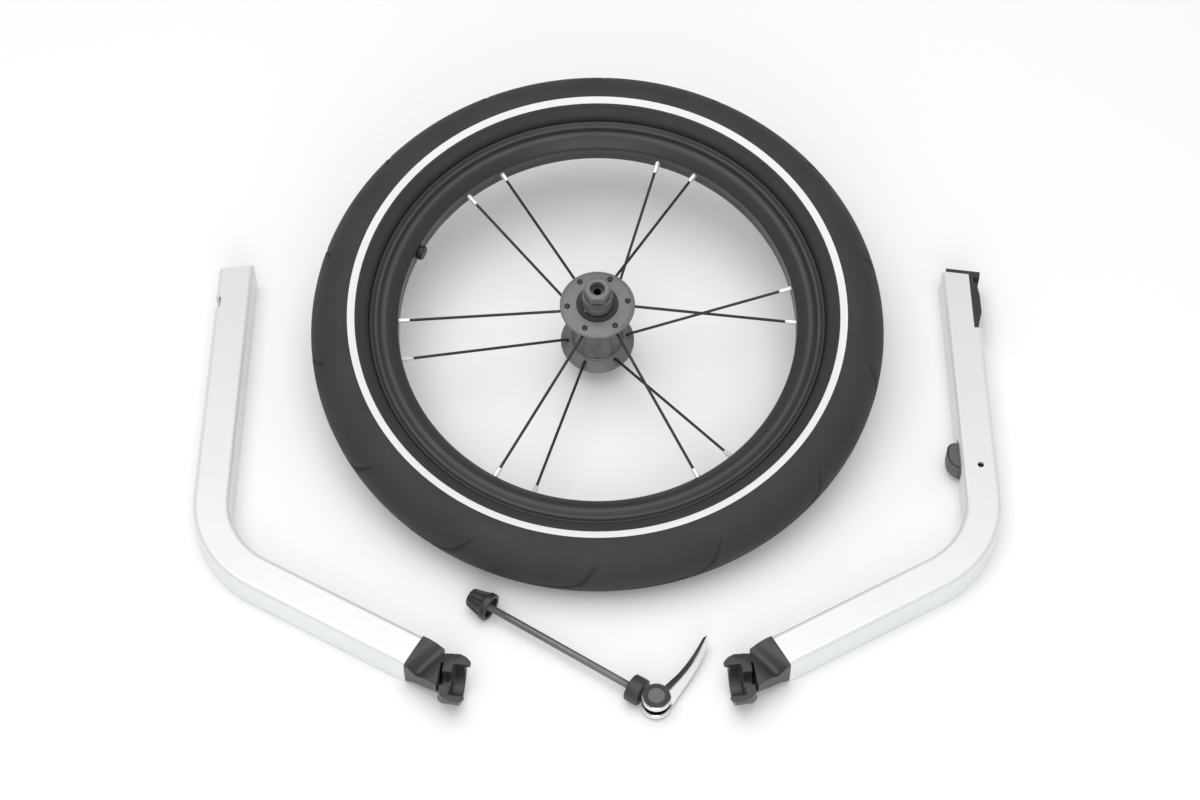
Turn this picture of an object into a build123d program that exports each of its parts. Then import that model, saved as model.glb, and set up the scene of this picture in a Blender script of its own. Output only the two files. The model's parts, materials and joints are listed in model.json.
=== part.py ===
from build123d import *
from math import acos, atan2, cos, degrees, hypot, radians, sin
import os

# Jogging-wheel conversion kit of a child trailer, laid out loose on a floor:
# a spoked 16 inch wheel, a left and a right bent arm, and a quick-release skewer.
# All sizes are in millimetres. +Z is up, +Y points from the skewer to the wheel,
# and the origin is the middle of the kit's footprint, on the floor.

os.makedirs("parts", exist_ok=True)

# ---- Driving dimensions -------------------------------------------------------

# Layout on the floor
WHEEL_Y = 43.6              # wheel centre, forward of the middle of the footprint
ARM_X = 262.0               # centre line of each arm's long straight, from the middle

# Tyre and rim (16 inch, 305 mm bead seat)
TYRE_RADIUS = 200.0
TYRE_HALF_WIDTH = 23.5
TYRE_WALL = 3.0
BAND_INNER, BAND_OUTER = 168.0, 173.0
BAND_DEPTH = 0.4
BEAD_SEAT_RADIUS = 152.5
RIM_RADIUS = 158.5
RIM_HALF_WIDTH = 13.6
RIM_BED_RADIUS = 139.0
TUBE_RADIUS = 19.0
TUBE_SKIN = 1.0
VALVE_ANGLE = 155.7
VALVE_RADIUS = 4.0

# Hub (100 mm over the locknuts)
HALF_LOCKNUTS = 50.0
FLANGE_FACE = 28.0
FLANGE_RADIUS = 26.0
BARREL_END, BARREL_WAIST = 17.3, 13.2
BARREL_HALF = 21.0
BARREL_FACETS = 10
AXLE_RADIUS, AXLE_BORE = 4.9, 2.7
AXLE_HALF = 45.0
NUT_BOTTOM = 42.5
NUT_ACROSS_FLATS = 17.0
NUT_CHAMFER = 0.9
CONE_RADIUS = 10.5
FLATS_FROM = 35.0           # wrench flats on the cone, from here outwards
BALL_RADIUS, BALL_CIRCLE, BALL_PLACE = 2.35, 9.0, 22.5
BALLS_PER_SIDE = 9
FIT = 0.05                  # radial clearance of a shaft in its bore

# Spokes: six from each flange
SPOKES_PER_SIDE = 6
SPOKE_RADIUS = 1.0
SPOKE_CIRCLE = 21.0
SPOKE_HOLE_ANGLE = 5.5
UPPER_NIPPLE_ANGLE, LOWER_NIPPLE_ANGLE = -0.3, 11.7
SPOKE_HEAD_RADIUS = 1.9
SPOKE_ELBOW = 21.2
SPOKE_BEND = 1.8
NIPPLE_RADIUS = 2.0
NIPPLE_OFFSET = 1.5

# Arms (25 mm square tube)
TUBE_SIZE = 25.0
WALL = 2.0
CORNER = 3.5
ARM_TOP_Y = 70.0            # end of the long straight, from the wheel centre
ARM_VERTEX_Y = -167.3       # where the two centre lines would cross
ARM_BEND = 60.9             # turn of the tube
ARM_BEND_RADIUS = 69.0
ARM_SHORT = 163.0           # from the crossing to the tube's lower end
ARM_TOE = 8.3               # the ends are cut square to the direction of travel

# Dropout at the lower end of each arm
DROPOUT_THICK = 14.6
DROPOUT_LIP = 3.0
RECESS_HALF = 11.2
SLOT_WIDTH = 9.6
SLIT_FLOOR = 11.0
SLIT_END = 12.3             # it stops short of the far edge
RECESS_DEEP = 8.0
TAB_FROM = 22.0
JAW_NEAR, JAW_FAR, JAW_DEEP = 15.6, 19.4, 19.0    # half ellipse seen along the axle
AXLE_DROP = 6.0             # from the top down to the middle of the slot's round end
SLIT = 1.4

# Latch in the right arm
PIN_X, PIN_Y, PIN_RADIUS = 262.4, -102.0, 2.2
LINK_X = 254.6
CATCH_Y = 44.0
SEAM = 268.5                # outside of this the tube's wall is cut away

# Skewer (5 mm)
ROD_RADIUS = 2.5
SKEWER_TURN = -32.5         # direction of the rod on the floor
SKEWER_Z = 9.75
NUT_FACE_AT = (-70.5, -206.3)
ROD_LENGTH = 129.0          # from the nut's big face to the lever's pivot
NUT_LENGTH = 17.0
NUT_BIG, NUT_SMALL = 9.7, 6.6
CAP_RADIUS, CAP_LENGTH = 9.3, 10.0
HEAD_RADIUS = 9.5
PIVOT_RADIUS = 5.3

# ---- Frames -------------------------------------------------------------------

# The wheel lies on its lower locknut and on the tyre's near side, which sets its tilt.
TYRE_CENTRE = TYRE_RADIUS - TYRE_HALF_WIDTH
NUT_REST = NUT_ACROSS_FLATS / 2 - NUT_CHAMFER
REACH = TYRE_CENTRE - NUT_REST
TILT = degrees(acos(TYRE_HALF_WIDTH / hypot(HALF_LOCKNUTS, REACH)) - atan2(REACH, HALF_LOCKNUTS))
WHEEL_Z = TYRE_HALF_WIDTH + TYRE_CENTRE * sin(radians(TILT))

wheel_frame = Plane(
    origin=(0, WHEEL_Y, WHEEL_Z),
    x_dir=(1, 0, 0),
    z_dir=(0, -sin(radians(TILT)), cos(radians(TILT))),
)
# Sketches on this plane have X along a radius and Y along the axle.
wheel_section = Plane(
    origin=wheel_frame.origin, x_dir=wheel_frame.x_dir, z_dir=-wheel_frame.y_dir
)
axle_line = Axis(wheel_frame.origin, wheel_frame.z_dir)

SIDES = {"upper": 1, "lower": -1}


def finish(piece, name):
    """Label a piece and write its STEP file."""
    piece.label = name
    export_step(piece, f"parts/{name}.step")


def on_wheel(radius, angle, along):
    """Point at a radius and an angle round the wheel, and a place along the axle."""
    turn = radians(angle)
    local = (radius * cos(turn), radius * sin(turn), along)
    return wheel_frame.from_local_coords(local)


def ring(points):
    """Ring about the axle from corners (radius, place along the axle)."""
    with BuildPart() as body:
        with BuildSketch(wheel_section):
            with BuildLine():
                Polyline(*points, close=True)
            make_face()
        revolve(axis=axle_line)
    return body.part


def tyre_point(angle, radius):
    """Point on a circle about the tyre's section centre; 0 degrees is the crown."""
    return (TYRE_CENTRE + radius * cos(radians(angle)), radius * sin(radians(angle)))


# ---- Tyre, inner tube and rim -------------------------------------------------

band_from = degrees(acos((BAND_OUTER - TYRE_CENTRE) / TYRE_HALF_WIDTH))
band_to = degrees(acos((BAND_INNER - TYRE_CENTRE) / TYRE_HALF_WIDTH))
WALL_END = 135.0            # angle where the sidewall turns in to the bead


def band_ring(side, depth):
    """Thin ring let into the sidewall, its face level with the tyre."""
    low = TYRE_HALF_WIDTH - depth
    middle = (band_from + band_to) / 2
    with BuildPart() as band:
        with BuildSketch(wheel_section):
            with BuildLine():
                outer = ThreePointArc(
                    *[tyre_point(side * a, TYRE_HALF_WIDTH) for a in (band_from, middle, band_to)]
                )
                inner = ThreePointArc(
                    *[tyre_point(side * a, low) for a in (band_from, middle, band_to)]
                )
                Line(outer @ 0, inner @ 0)
                Line(outer @ 1, inner @ 1)
            make_face()
        revolve(axis=axle_line)
    return band.part


inner_radius = TYRE_HALF_WIDTH - TYRE_WALL
with BuildPart() as tyre:
    with BuildSketch(wheel_section):
        with BuildLine():
            ThreePointArc(*[tyre_point(a, TYRE_HALF_WIDTH) for a in (-WALL_END, 0, WALL_END)])
            ThreePointArc(*[tyre_point(a, inner_radius) for a in (-WALL_END, 0, WALL_END)])
            for side in SIDES.values():
                Polyline(
                    tyre_point(side * WALL_END, TYRE_HALF_WIDTH),
                    (RIM_RADIUS + 0.5, side * (RIM_HALF_WIDTH + 0.4)),
                    (RIM_RADIUS + 0.5, side * 11.2),
                    (BEAD_SEAT_RADIUS + 1.3, side * 10.9),
                    (BEAD_SEAT_RADIUS + 0.3, side * 10.2),
                    (BEAD_SEAT_RADIUS + 0.3, side * 6.5),
                    (BEAD_SEAT_RADIUS + 3.8, side * 6.5),
                    tyre_point(side * WALL_END, inner_radius),
                )
        make_face()
    revolve(axis=axle_line)
    for side in SIDES.values():
        add(band_ring(side, BAND_DEPTH + FIT), mode=Mode.SUBTRACT)
finish(tyre.part, "tyre")

for name, side in SIDES.items():
    finish(band_ring(side, BAND_DEPTH), f"reflective_band_{name}")

with BuildPart() as inner_tube:
    with BuildSketch(wheel_section):
        with Locations((TYRE_CENTRE + 0.7, 0)):
            Circle(TUBE_RADIUS)
            Circle(TUBE_RADIUS - TUBE_SKIN, mode=Mode.SUBTRACT)
    revolve(axis=axle_line)
finish(inner_tube.part, "inner_tube")

valve_direction = on_wheel(1, VALVE_ANGLE, 0) - wheel_frame.origin
VALVE_INNER_END = 136.4


def valve_plane(radius):
    """Plane across the valve at a radius, facing outwards."""
    return Plane(origin=on_wheel(radius, VALVE_ANGLE, 0), z_dir=valve_direction)


TAPE_INNER, TAPE_OUTER = 150.6, 151.4
with BuildPart() as rim_tape:
    add(ring([(TAPE_INNER, -4.6), (TAPE_INNER, 4.6), (TAPE_OUTER, 4.6), (TAPE_OUTER, -4.6)]))
    with BuildSketch(valve_plane(TAPE_INNER - 5)):
        Circle(VALVE_RADIUS + 0.2)
    extrude(amount=10, mode=Mode.SUBTRACT)
finish(rim_tape.part, "rim_tape")


def mirrored(points):
    """Close a half section by repeating it on the other side of the wheel."""
    return points + [(radius, -along) for radius, along in reversed(points)]


def nipple_end(side, index, radius):
    """Point on a spoke's rim end, at a radius."""
    angle = UPPER_NIPPLE_ANGLE if side > 0 else LOWER_NIPPLE_ANGLE
    step = 360 / SPOKES_PER_SIDE
    return on_wheel(radius, angle + index * step, side * NIPPLE_OFFSET)


def spoke_elbow(side, index):
    """Corner of a spoke just inside its flange hole."""
    step = 360 / SPOKES_PER_SIDE
    return on_wheel(SPOKE_CIRCLE, SPOKE_HOLE_ANGLE + index * step, side * SPOKE_ELBOW)


def nipple_plane(side, index):
    """Plane across a spoke where it meets the spoke bed, facing the rim."""
    foot = nipple_end(side, index, RIM_BED_RADIUS)
    return Plane(origin=foot, z_dir=foot - spoke_elbow(side, index))


SPOKE_PLACES = [(side, index) for side in SIDES.values() for index in range(SPOKES_PER_SIDE)]
rim_outline = [
    (RIM_BED_RADIUS, 6.4),
    (RIM_BED_RADIUS + 2.2, 9.6),
    (RIM_BED_RADIUS + 7.5, 12.6),
    (RIM_BED_RADIUS + 11.5, 12.9),
    (RIM_BED_RADIUS + 14.5, 12.3),
    (RIM_RADIUS - 1.0, RIM_HALF_WIDTH),
    (RIM_RADIUS, RIM_HALF_WIDTH),
    (RIM_RADIUS, 11.6),
    (BEAD_SEAT_RADIUS, 11.3),
    (BEAD_SEAT_RADIUS - 0.2, 6.2),
    (BEAD_SEAT_RADIUS - 2.0, 5.0),
]
rim_chamber = [
    (RIM_BED_RADIUS + 2.0, 5.6),
    (RIM_BED_RADIUS + 3.6, 8.2),
    (RIM_BED_RADIUS + 8.4, 10.6),
    (RIM_BED_RADIUS + 11.4, 9.8),
    (RIM_BED_RADIUS + 10.0, 4.4),
]
with BuildPart() as rim:
    add(ring(mirrored(rim_outline)))
    add(ring(mirrored(rim_chamber)), mode=Mode.SUBTRACT)
    for side, index in SPOKE_PLACES:
        with BuildSketch(nipple_plane(side, index).offset(-3)):
            Circle(NIPPLE_RADIUS + 0.4)
        extrude(amount=7, mode=Mode.SUBTRACT)
    with BuildSketch(valve_plane(RIM_BED_RADIUS - 2)):
        Circle(VALVE_RADIUS + 0.2)
    extrude(amount=16, mode=Mode.SUBTRACT)
finish(rim.part, "rim")

with BuildPart() as valve_stem:
    with BuildSketch(valve_plane(VALVE_INNER_END + 2.2)):
        Circle(VALVE_RADIUS)
    extrude(amount=TYRE_CENTRE + 0.7 - TUBE_RADIUS - 0.1 - VALVE_INNER_END - 2.2)
finish(valve_stem.part, "valve_stem")

with BuildPart() as valve_cap:
    with BuildSketch(valve_plane(VALVE_INNER_END - 1.4)):
        Circle(VALVE_RADIUS + 1.2)
    extrude(amount=3.5)
    chamfer(valve_cap.edges().filter_by(GeomType.CIRCLE), 0.6)
finish(valve_cap.part, "valve_cap")

# ---- Spokes and nipples -------------------------------------------------------


def one_spoke(side, index):
    """Bent spoke with its head outside the flange."""
    elbow = spoke_elbow(side, index)
    head = elbow + wheel_frame.z_dir * side * (FLANGE_FACE - SPOKE_ELBOW + 0.1)
    with BuildPart() as spoke:
        with BuildLine() as run:
            FilletPolyline(head, elbow, nipple_end(side, index, RIM_BED_RADIUS), radius=SPOKE_BEND)
        with BuildSketch(Plane(origin=run.line @ 0, z_dir=run.line % 0)):
            Circle(SPOKE_RADIUS)
        sweep(path=run.line)
        with BuildSketch(Plane(origin=head, z_dir=wheel_frame.z_dir * side)):
            Circle(SPOKE_HEAD_RADIUS)
        extrude(amount=1.2)
    return spoke.part


for name, side in SIDES.items():
    with BuildPart() as spokes:
        for index in range(SPOKES_PER_SIDE):
            add(one_spoke(side, index))
    finish(spokes.part, f"spokes_{name}")

with BuildPart() as spoke_nipples:
    for side, index in SPOKE_PLACES:
        with BuildSketch(nipple_plane(side, index).offset(-8.2)):
            Circle(NIPPLE_RADIUS)
        extrude(amount=11)
        with BuildSketch(nipple_plane(side, index).offset(2.6)):
            Circle(NIPPLE_RADIUS + 0.9)
        extrude(amount=1.6)
        with BuildSketch(nipple_plane(side, index).offset(-9)):
            Circle(SPOKE_RADIUS + FIT)
        extrude(amount=15, mode=Mode.SUBTRACT)
finish(spoke_nipples.part, "spoke_nipples")

# ---- Hub ----------------------------------------------------------------------

CUP_RADIUS = 12.8
CUP_FROM, CUP_TO = 18.5, 26.0
SEAL_RADIUS = 14.2
SEAL_FROM, SEAL_TO = 26.6, 28.6

with BuildPart() as hub_shell:
    for along, size in ((-BARREL_HALF, BARREL_END), (0, BARREL_WAIST), (BARREL_HALF, BARREL_END)):
        with BuildSketch(wheel_frame.offset(along)):
            RegularPolygon(size, BARREL_FACETS, major_radius=False)
    loft()
    for side in SIDES.values():
        flange = [
            (0, side * (BARREL_HALF - 0.5)),
            (BARREL_END - 0.2, side * (BARREL_HALF - 0.5)),
            (FLANGE_RADIUS - 0.5, side * 24.8),
            (FLANGE_RADIUS, side * 25.4),
            (FLANGE_RADIUS, side * 27.0),
            (FLANGE_RADIUS - 3.0, side * FLANGE_FACE),
            (0, side * FLANGE_FACE),
        ]
        add(ring(flange))
    for side in SIDES.values():
        bore = [
            (0, 0),
            (8.0, 0),
            (8.0, side * (CUP_FROM - FIT)),
            (CUP_RADIUS + FIT, side * (CUP_FROM - FIT)),
            (CUP_RADIUS + FIT, side * SEAL_FROM),
            (SEAL_RADIUS + FIT, side * SEAL_FROM),
            (SEAL_RADIUS + FIT, side * (FLANGE_FACE + 1)),
            (0, side * (FLANGE_FACE + 1)),
        ]
        add(ring(bore), mode=Mode.SUBTRACT)
        for index in range(SPOKES_PER_SIDE):
            hole = Plane(origin=spoke_elbow(side, index), z_dir=wheel_frame.z_dir * side)
            with BuildSketch(hole):
                Circle(SPOKE_RADIUS + 0.3)
            extrude(amount=8, mode=Mode.SUBTRACT)
finish(hub_shell.part, "hub_shell")

for name, side in SIDES.items():
    cup = [
        (8.3, CUP_FROM),
        (CUP_RADIUS, CUP_FROM),
        (CUP_RADIUS, CUP_TO),
        (BALL_CIRCLE + BALL_RADIUS + FIT, CUP_TO),
        (BALL_CIRCLE + BALL_RADIUS + FIT, CUP_FROM + 1.3),
        (8.3, CUP_FROM + 1.3),
    ]
    finish(ring([(r, side * a) for r, a in cup]), f"bearing_cup_{name}")

    seal = [
        (CONE_RADIUS + 0.2, SEAL_FROM + 0.4),
        (SEAL_RADIUS, SEAL_FROM + 0.4),
        (SEAL_RADIUS, SEAL_TO),
        (CONE_RADIUS + 0.2, SEAL_TO),
    ]
    finish(ring([(r, side * a) for r, a in seal]), f"hub_seal_{name}")

    with BuildPart() as bearing_balls:
        with Locations(
            *[
                on_wheel(BALL_CIRCLE, index * 360 / BALLS_PER_SIDE, side * BALL_PLACE)
                for index in range(BALLS_PER_SIDE)
            ]
        ):
            Sphere(BALL_RADIUS)
    finish(bearing_balls.part, f"bearing_balls_{name}")

    with BuildPart() as cone:
        inner_end = BALL_PLACE - 3.4
        track = BALL_CIRCLE - BALL_RADIUS - 0.1
        add(
            ring(
                [
                    (AXLE_RADIUS + FIT, side * inner_end),
                    (track, side * inner_end),
                    (track, side * 24.9),
                    (8.2, side * 26.5),
                    (CONE_RADIUS, side * 29.5),
                    (CONE_RADIUS, side * 41.3),
                    (AXLE_RADIUS + FIT, side * 41.3),
                ]
            )
        )
        with BuildSketch(wheel_frame.offset(side * FLATS_FROM)):
            Rectangle(3 * CONE_RADIUS, 3 * CONE_RADIUS)
            Rectangle(3 * CONE_RADIUS, NUT_ACROSS_FLATS, mode=Mode.SUBTRACT)
        extrude(amount=side * 8, mode=Mode.SUBTRACT)
    finish(cone.part, f"cone_{name}")

    washer = [
        (AXLE_RADIUS + FIT, side * 41.35),
        (9.0, side * 41.35),
        (9.0, side * (NUT_BOTTOM - FIT)),
        (AXLE_RADIUS + FIT, side * (NUT_BOTTOM - FIT)),
    ]
    finish(ring(washer), f"lock_washer_{name}")

    with BuildPart() as locknut:
        with BuildSketch(wheel_frame.offset(side * NUT_BOTTOM)):
            RegularPolygon(NUT_ACROSS_FLATS / 2, 6, major_radius=False)
            Circle(AXLE_RADIUS + FIT, mode=Mode.SUBTRACT)
        extrude(amount=side * (HALF_LOCKNUTS - NUT_BOTTOM))
        end_face = locknut.faces().sort_by(axle_line)[-1 if side > 0 else 0]
        chamfer(end_face.outer_wire().edges(), NUT_CHAMFER)
    finish(locknut.part, f"locknut_{name}")

finish(
    ring(
        [
            (AXLE_BORE, -AXLE_HALF),
            (AXLE_BORE, AXLE_HALF),
            (AXLE_RADIUS, AXLE_HALF),
            (AXLE_RADIUS, -AXLE_HALF),
        ]
    ),
    "axle",
)

# ---- Arms ---------------------------------------------------------------------
# The left arm is worked out and the right one is its mirror image, apart from
# what the latch needs. Places on the floor are measured from the wheel's centre.

HALF = TUBE_SIZE / 2
INSIDE = TUBE_SIZE - 2 * WALL
SPIGOT = INSIDE - 0.4
SPIGOT_LENGTH = 34.0


def floor(x, y, z=0.0):
    """Point given from the wheel's centre, in the kit's own frame."""
    return Vector(x, y + WHEEL_Y, z)


short_angle = radians(ARM_BEND - 90)
along_short = Vector(cos(short_angle), sin(short_angle))
vertex = floor(-ARM_X, ARM_VERTEX_Y, HALF)
arm_top = floor(-ARM_X, ARM_TOP_Y + 4, HALF)
arm_end = vertex + along_short * ARM_SHORT
toe = radians(ARM_TOE)

with BuildPart() as bent_tube:
    with BuildLine() as arm_run:
        FilletPolyline(arm_top, vertex, arm_end, radius=ARM_BEND_RADIUS)
    top_plane = Plane(origin=arm_top, x_dir=(1, 0, 0), z_dir=(0, -1, 0))
    with BuildSketch(top_plane):
        RectangleRounded(TUBE_SIZE, TUBE_SIZE, CORNER)
    sweep(path=arm_run.line)
    with BuildSketch(top_plane):
        RectangleRounded(INSIDE, INSIDE, CORNER - WALL)
    sweep(path=arm_run.line, mode=Mode.SUBTRACT)
    top_cut = Plane(origin=floor(-ARM_X, ARM_TOP_Y), z_dir=(-sin(toe), cos(toe), 0))
    split(bisect_by=top_cut, keep=Keep.BOTTOM)

SLOT_FROM, SLOT_TO = 33.0, 43.5
with BuildPart() as arm_tube_left:
    add(bent_tube.part)
    with BuildSketch(Plane(origin=floor(-ARM_X - HALF, SLOT_FROM, 8))):
        Rectangle(8, SLOT_TO - SLOT_FROM, align=(Align.CENTER, Align.MIN))
    extrude(amount=TUBE_SIZE, mode=Mode.SUBTRACT)
finish(arm_tube_left.part, "arm_tube_left")

# Dropout: a C-shaped end whose lips hold the hub's locknut, slotted for the axle.
# Its own frame has X towards the wheel, square to the direction of travel.
dropout_frame = Plane(
    origin=floor(-86.8, -268.7), x_dir=(cos(toe), -sin(toe), 0), z_dir=(0, 0, 1)
)
short_frame = Plane(
    origin=(arm_end.X, arm_end.Y, HALF), x_dir=(0, 0, 1), z_dir=(along_short.X, along_short.Y, 0)
)
far_corner = dropout_frame.to_local_coords(
    Vector(arm_end.X, arm_end.Y) + Vector(-along_short.Y, along_short.X) * HALF
)
near_corner = dropout_frame.to_local_coords(
    Vector(arm_end.X, arm_end.Y) - Vector(-along_short.Y, along_short.X) * HALF
)
jaw_back = -DROPOUT_THICK - SLIT
far_edge = far_corner.Y + (19.2 - far_corner.Y) * (jaw_back - far_corner.X) / (-5.0 - far_corner.X)
jaw_plane = Plane(
    origin=dropout_frame.from_local_coords(Vector(jaw_back, 0, TUBE_SIZE)),
    x_dir=dropout_frame.y_dir,
    z_dir=dropout_frame.x_dir,
)
# The near side of the body tapers in under its top edge, more towards the jaw.
taper = Plane(
    origin=dropout_frame.from_local_coords(Vector(-DROPOUT_THICK, -11.2, TUBE_SIZE)),
    z_dir=dropout_frame.x_dir * -0.18 + dropout_frame.y_dir * -0.88 + Vector(0, 0, -0.475),
)
with BuildPart() as end_fitting_left:
    with BuildSketch(dropout_frame):
        with BuildLine():
            Polyline(
                (far_corner.X, far_corner.Y),
                (jaw_back, far_edge),
                (jaw_back, -7.4),
                (-18.0, -5.2),
                (near_corner.X, near_corner.Y),
                close=True,
            )
        make_face()
    extrude(amount=TUBE_SIZE)
    split(bisect_by=taper, keep=Keep.BOTTOM)
    with BuildSketch(dropout_frame):
        with BuildLine():
            Polyline(
                (jaw_back, far_edge),
                (-5.0, 19.2),
                (-0.5, 17.4),
                (DROPOUT_LIP, 14.2),
                (DROPOUT_LIP, -13.0),
                (-0.5, -15.6),
                (-6.0, -15.6),
                (-12.4, -12.6),
                (jaw_back, -7.4),
                close=True,
            )
        make_face()
    extrude(amount=TUBE_SIZE)
    fillet(end_fitting_left.edges().filter_by(Axis.Z).sort_by(Axis.X)[-3:], 0.5)
    # Underneath, the jaw is a half ellipse; its recess and its slot end round the axle
    for half_width, side in ((JAW_NEAR, Align.MAX), (JAW_FAR, Align.MIN)):
        with BuildSketch(jaw_plane):
            Rectangle(30, 30, align=(side, Align.MAX))
            Ellipse(half_width, JAW_DEEP, mode=Mode.SUBTRACT)
        extrude(amount=DROPOUT_LIP - jaw_back + 1, mode=Mode.SUBTRACT)
    for cut_from, half_width in (
        (-jaw_back - RECESS_DEEP, RECESS_HALF), (SLIT - 0.1, SLOT_WIDTH / 2)
    ):
        with BuildSketch(jaw_plane.offset(cut_from)):
            with Locations((0, -AXLE_DROP)):
                Circle(half_width)
                Rectangle(2 * half_width, 20, align=(Align.CENTER, Align.MIN))
        extrude(amount=DROPOUT_LIP - jaw_back + 1, mode=Mode.SUBTRACT)
    with BuildSketch(dropout_frame.offset(SLIT_FLOOR)):
        with Locations((-DROPOUT_THICK, SLIT_END)):
            Rectangle(SLIT, 60, align=(Align.MAX, Align.MAX))
    extrude(amount=TUBE_SIZE, mode=Mode.SUBTRACT)
    # Only two thin tabs reach past the jaw's face
    with BuildSketch(dropout_frame):
        Rectangle(20, 80, align=(Align.MIN, Align.CENTER))
    extrude(amount=TAB_FROM, mode=Mode.SUBTRACT)
    with BuildSketch(short_frame):
        RectangleRounded(SPIGOT, SPIGOT, CORNER - WALL + 0.2)
    extrude(amount=-SPIGOT_LENGTH)
finish(end_fitting_left.part, "end_fitting_left")
finish(mirror(end_fitting_left.part, Plane.YZ), "end_fitting_right")

# Right arm: the mirrored tube, cut for the latch, the button and the button's pin.
INSERT_END = 5.0            # thickness of the end plate beyond the tube
TUBE_SHORTER = 6.0          # the right tube stops short of the left one by the end plate
STRIP_FROM = 15.0
BUTTON_FROM, BUTTON_TO = -104.6, -76.8
right_top = Plane(
    origin=floor(ARM_X, ARM_TOP_Y - TUBE_SHORTER), z_dir=(sin(toe), cos(toe), 0)
)
with BuildPart() as arm_tube_right:
    add(mirror(bent_tube.part, Plane.YZ))
    split(bisect_by=right_top, keep=Keep.BOTTOM)
    with BuildSketch(Plane(origin=floor(SEAM, STRIP_FROM, -1))):
        Rectangle(20, 80, align=(Align.MIN, Align.MIN))
    extrude(amount=TUBE_SIZE + 2, mode=Mode.SUBTRACT)
    with BuildSketch(Plane(origin=floor(ARM_X - HALF, BUTTON_FROM, 5.5))):
        Rectangle(3 * WALL, BUTTON_TO - BUTTON_FROM, align=(Align.CENTER, Align.MIN))
    extrude(amount=14, mode=Mode.SUBTRACT)
    with BuildSketch(Plane(origin=floor(PIN_X, PIN_Y, -1))):
        Circle(PIN_RADIUS + FIT)
    extrude(amount=TUBE_SIZE + 2, mode=Mode.SUBTRACT)
finish(arm_tube_right.part, "arm_tube_right")

# The moulded insert closes the tube's end and carries the catch in its outer edge.
CATCH_FROM, CATCH_TO = 28.5, 58.0
CORE_FROM = 13.0
CORE_INNER = ARM_X - HALF + WALL + 0.5
LINK_HALF = 2.5
STEM_RADIUS = 2.5
with BuildPart() as latch_insert:
    with BuildSketch(Plane(origin=floor(SEAM + 0.1, CORE_FROM, WALL + 0.5))):
        Rectangle(SEAM + 0.1 - CORE_INNER, 80, align=(Align.MAX, Align.MIN))
    extrude(amount=INSIDE - 1.0)
    with BuildSketch(Plane(origin=floor(SEAM + 0.1, STRIP_FROM + 0.3, 0.3))):
        Rectangle(3.0, 80, align=(Align.MIN, Align.MIN))
    extrude(amount=TUBE_SIZE - 0.6)
    split(bisect_by=right_top.offset(0.3), keep=Keep.BOTTOM)
    with BuildSketch(right_top.offset(0.3)):
        with Locations(right_top.to_local_coords(floor(ARM_X + 2.6, ARM_TOP_Y - TUBE_SHORTER, HALF))):
            Rectangle(TUBE_SIZE - 0.6, 19.4)
    extrude(amount=INSERT_END)
    # Pocket of the catch, channel of the link and hole of the stem
    with BuildSketch(Plane(origin=floor(SEAM, CATCH_FROM - 0.4, 2.8))):
        Rectangle(20, CATCH_TO - CATCH_FROM + 0.8, align=(Align.MIN, Align.MIN))
    extrude(amount=TUBE_SIZE - 5.6, mode=Mode.SUBTRACT)
    with BuildSketch(Plane(origin=floor(0, 0, HALF - 7))):
        with Locations((LINK_X + 2.4, CATCH_Y - 18)):
            Rectangle(12.4, 52)
    extrude(amount=14, mode=Mode.SUBTRACT)
    with BuildSketch(Plane(origin=floor(LINK_X, CATCH_Y, HALF), z_dir=(1, 0, 0))):
        Circle(STEM_RADIUS + FIT)
    extrude(amount=20, mode=Mode.SUBTRACT)
finish(latch_insert.part, "latch_insert")

with BuildPart() as pivot_pin:
    with BuildSketch(Plane(origin=floor(PIN_X, PIN_Y, 0.6))):
        Circle(PIN_RADIUS)
    extrude(amount=TUBE_SIZE - 4)
finish(pivot_pin.part, "pivot_pin")

SPRING_TURNS, SPRING_PITCH, SPRING_WIRE, SPRING_RADIUS = 4, 1.1, 0.4, 3.0
with BuildPart() as button_spring:
    with BuildLine(Plane(origin=floor(PIN_X, PIN_Y, HALF - 2.2))) as coil:
        Helix(SPRING_PITCH, SPRING_TURNS * SPRING_PITCH, SPRING_RADIUS)
    with BuildSketch(Plane(origin=coil.line @ 0, z_dir=coil.line % 0)):
        Circle(SPRING_WIRE)
    sweep(path=coil.line, is_frenet=True)
finish(button_spring.part, "button_spring")

# Button: a lever on the pin. Its two flanges straddle the link, which a small peg drives.
BUTTON_HEIGHT = 13.0
PEG_RADIUS = 1.2
floor_frame = Plane(origin=floor(0, 0, 0))
button_base = floor_frame.offset(HALF - BUTTON_HEIGHT / 2)
with BuildPart() as release_button:
    with BuildSketch(button_base):
        with BuildLine():
            ThreePointArc((249.2, -80.4), (243.2, -82.0), (241.4, -88.5))
            ThreePointArc((241.4, -88.5), (243.2, -96.6), (249.0, -101.4))
            Polyline(
                (249.0, -101.4),
                (PIN_X - 1, PIN_Y - 4.6),
                (PIN_X + 4.0, PIN_Y),
                (PIN_X - 1, PIN_Y + 4.6),
                (252.0, -82.0),
                (249.2, -80.4),
            )
        make_face()
    extrude(amount=BUTTON_HEIGHT)
    with BuildSketch(floor_frame.offset(HALF - 3)):
        with BuildLine():
            Polyline(
                (244.8, -70), (250.4, -98.5), (250.4, -110), (275, -110), (275, -70), close=True
            )
        make_face()
    extrude(amount=6, mode=Mode.SUBTRACT)
    with BuildSketch(button_base):
        with Locations((PIN_X, PIN_Y)):
            Circle(PIN_RADIUS + FIT)
    extrude(amount=BUTTON_HEIGHT, mode=Mode.SUBTRACT)
    with BuildSketch(button_base):
        with Locations((LINK_X, PIN_Y)):
            Circle(PEG_RADIUS)
    extrude(amount=BUTTON_HEIGHT)
finish(release_button.part, "release_button")

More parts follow.
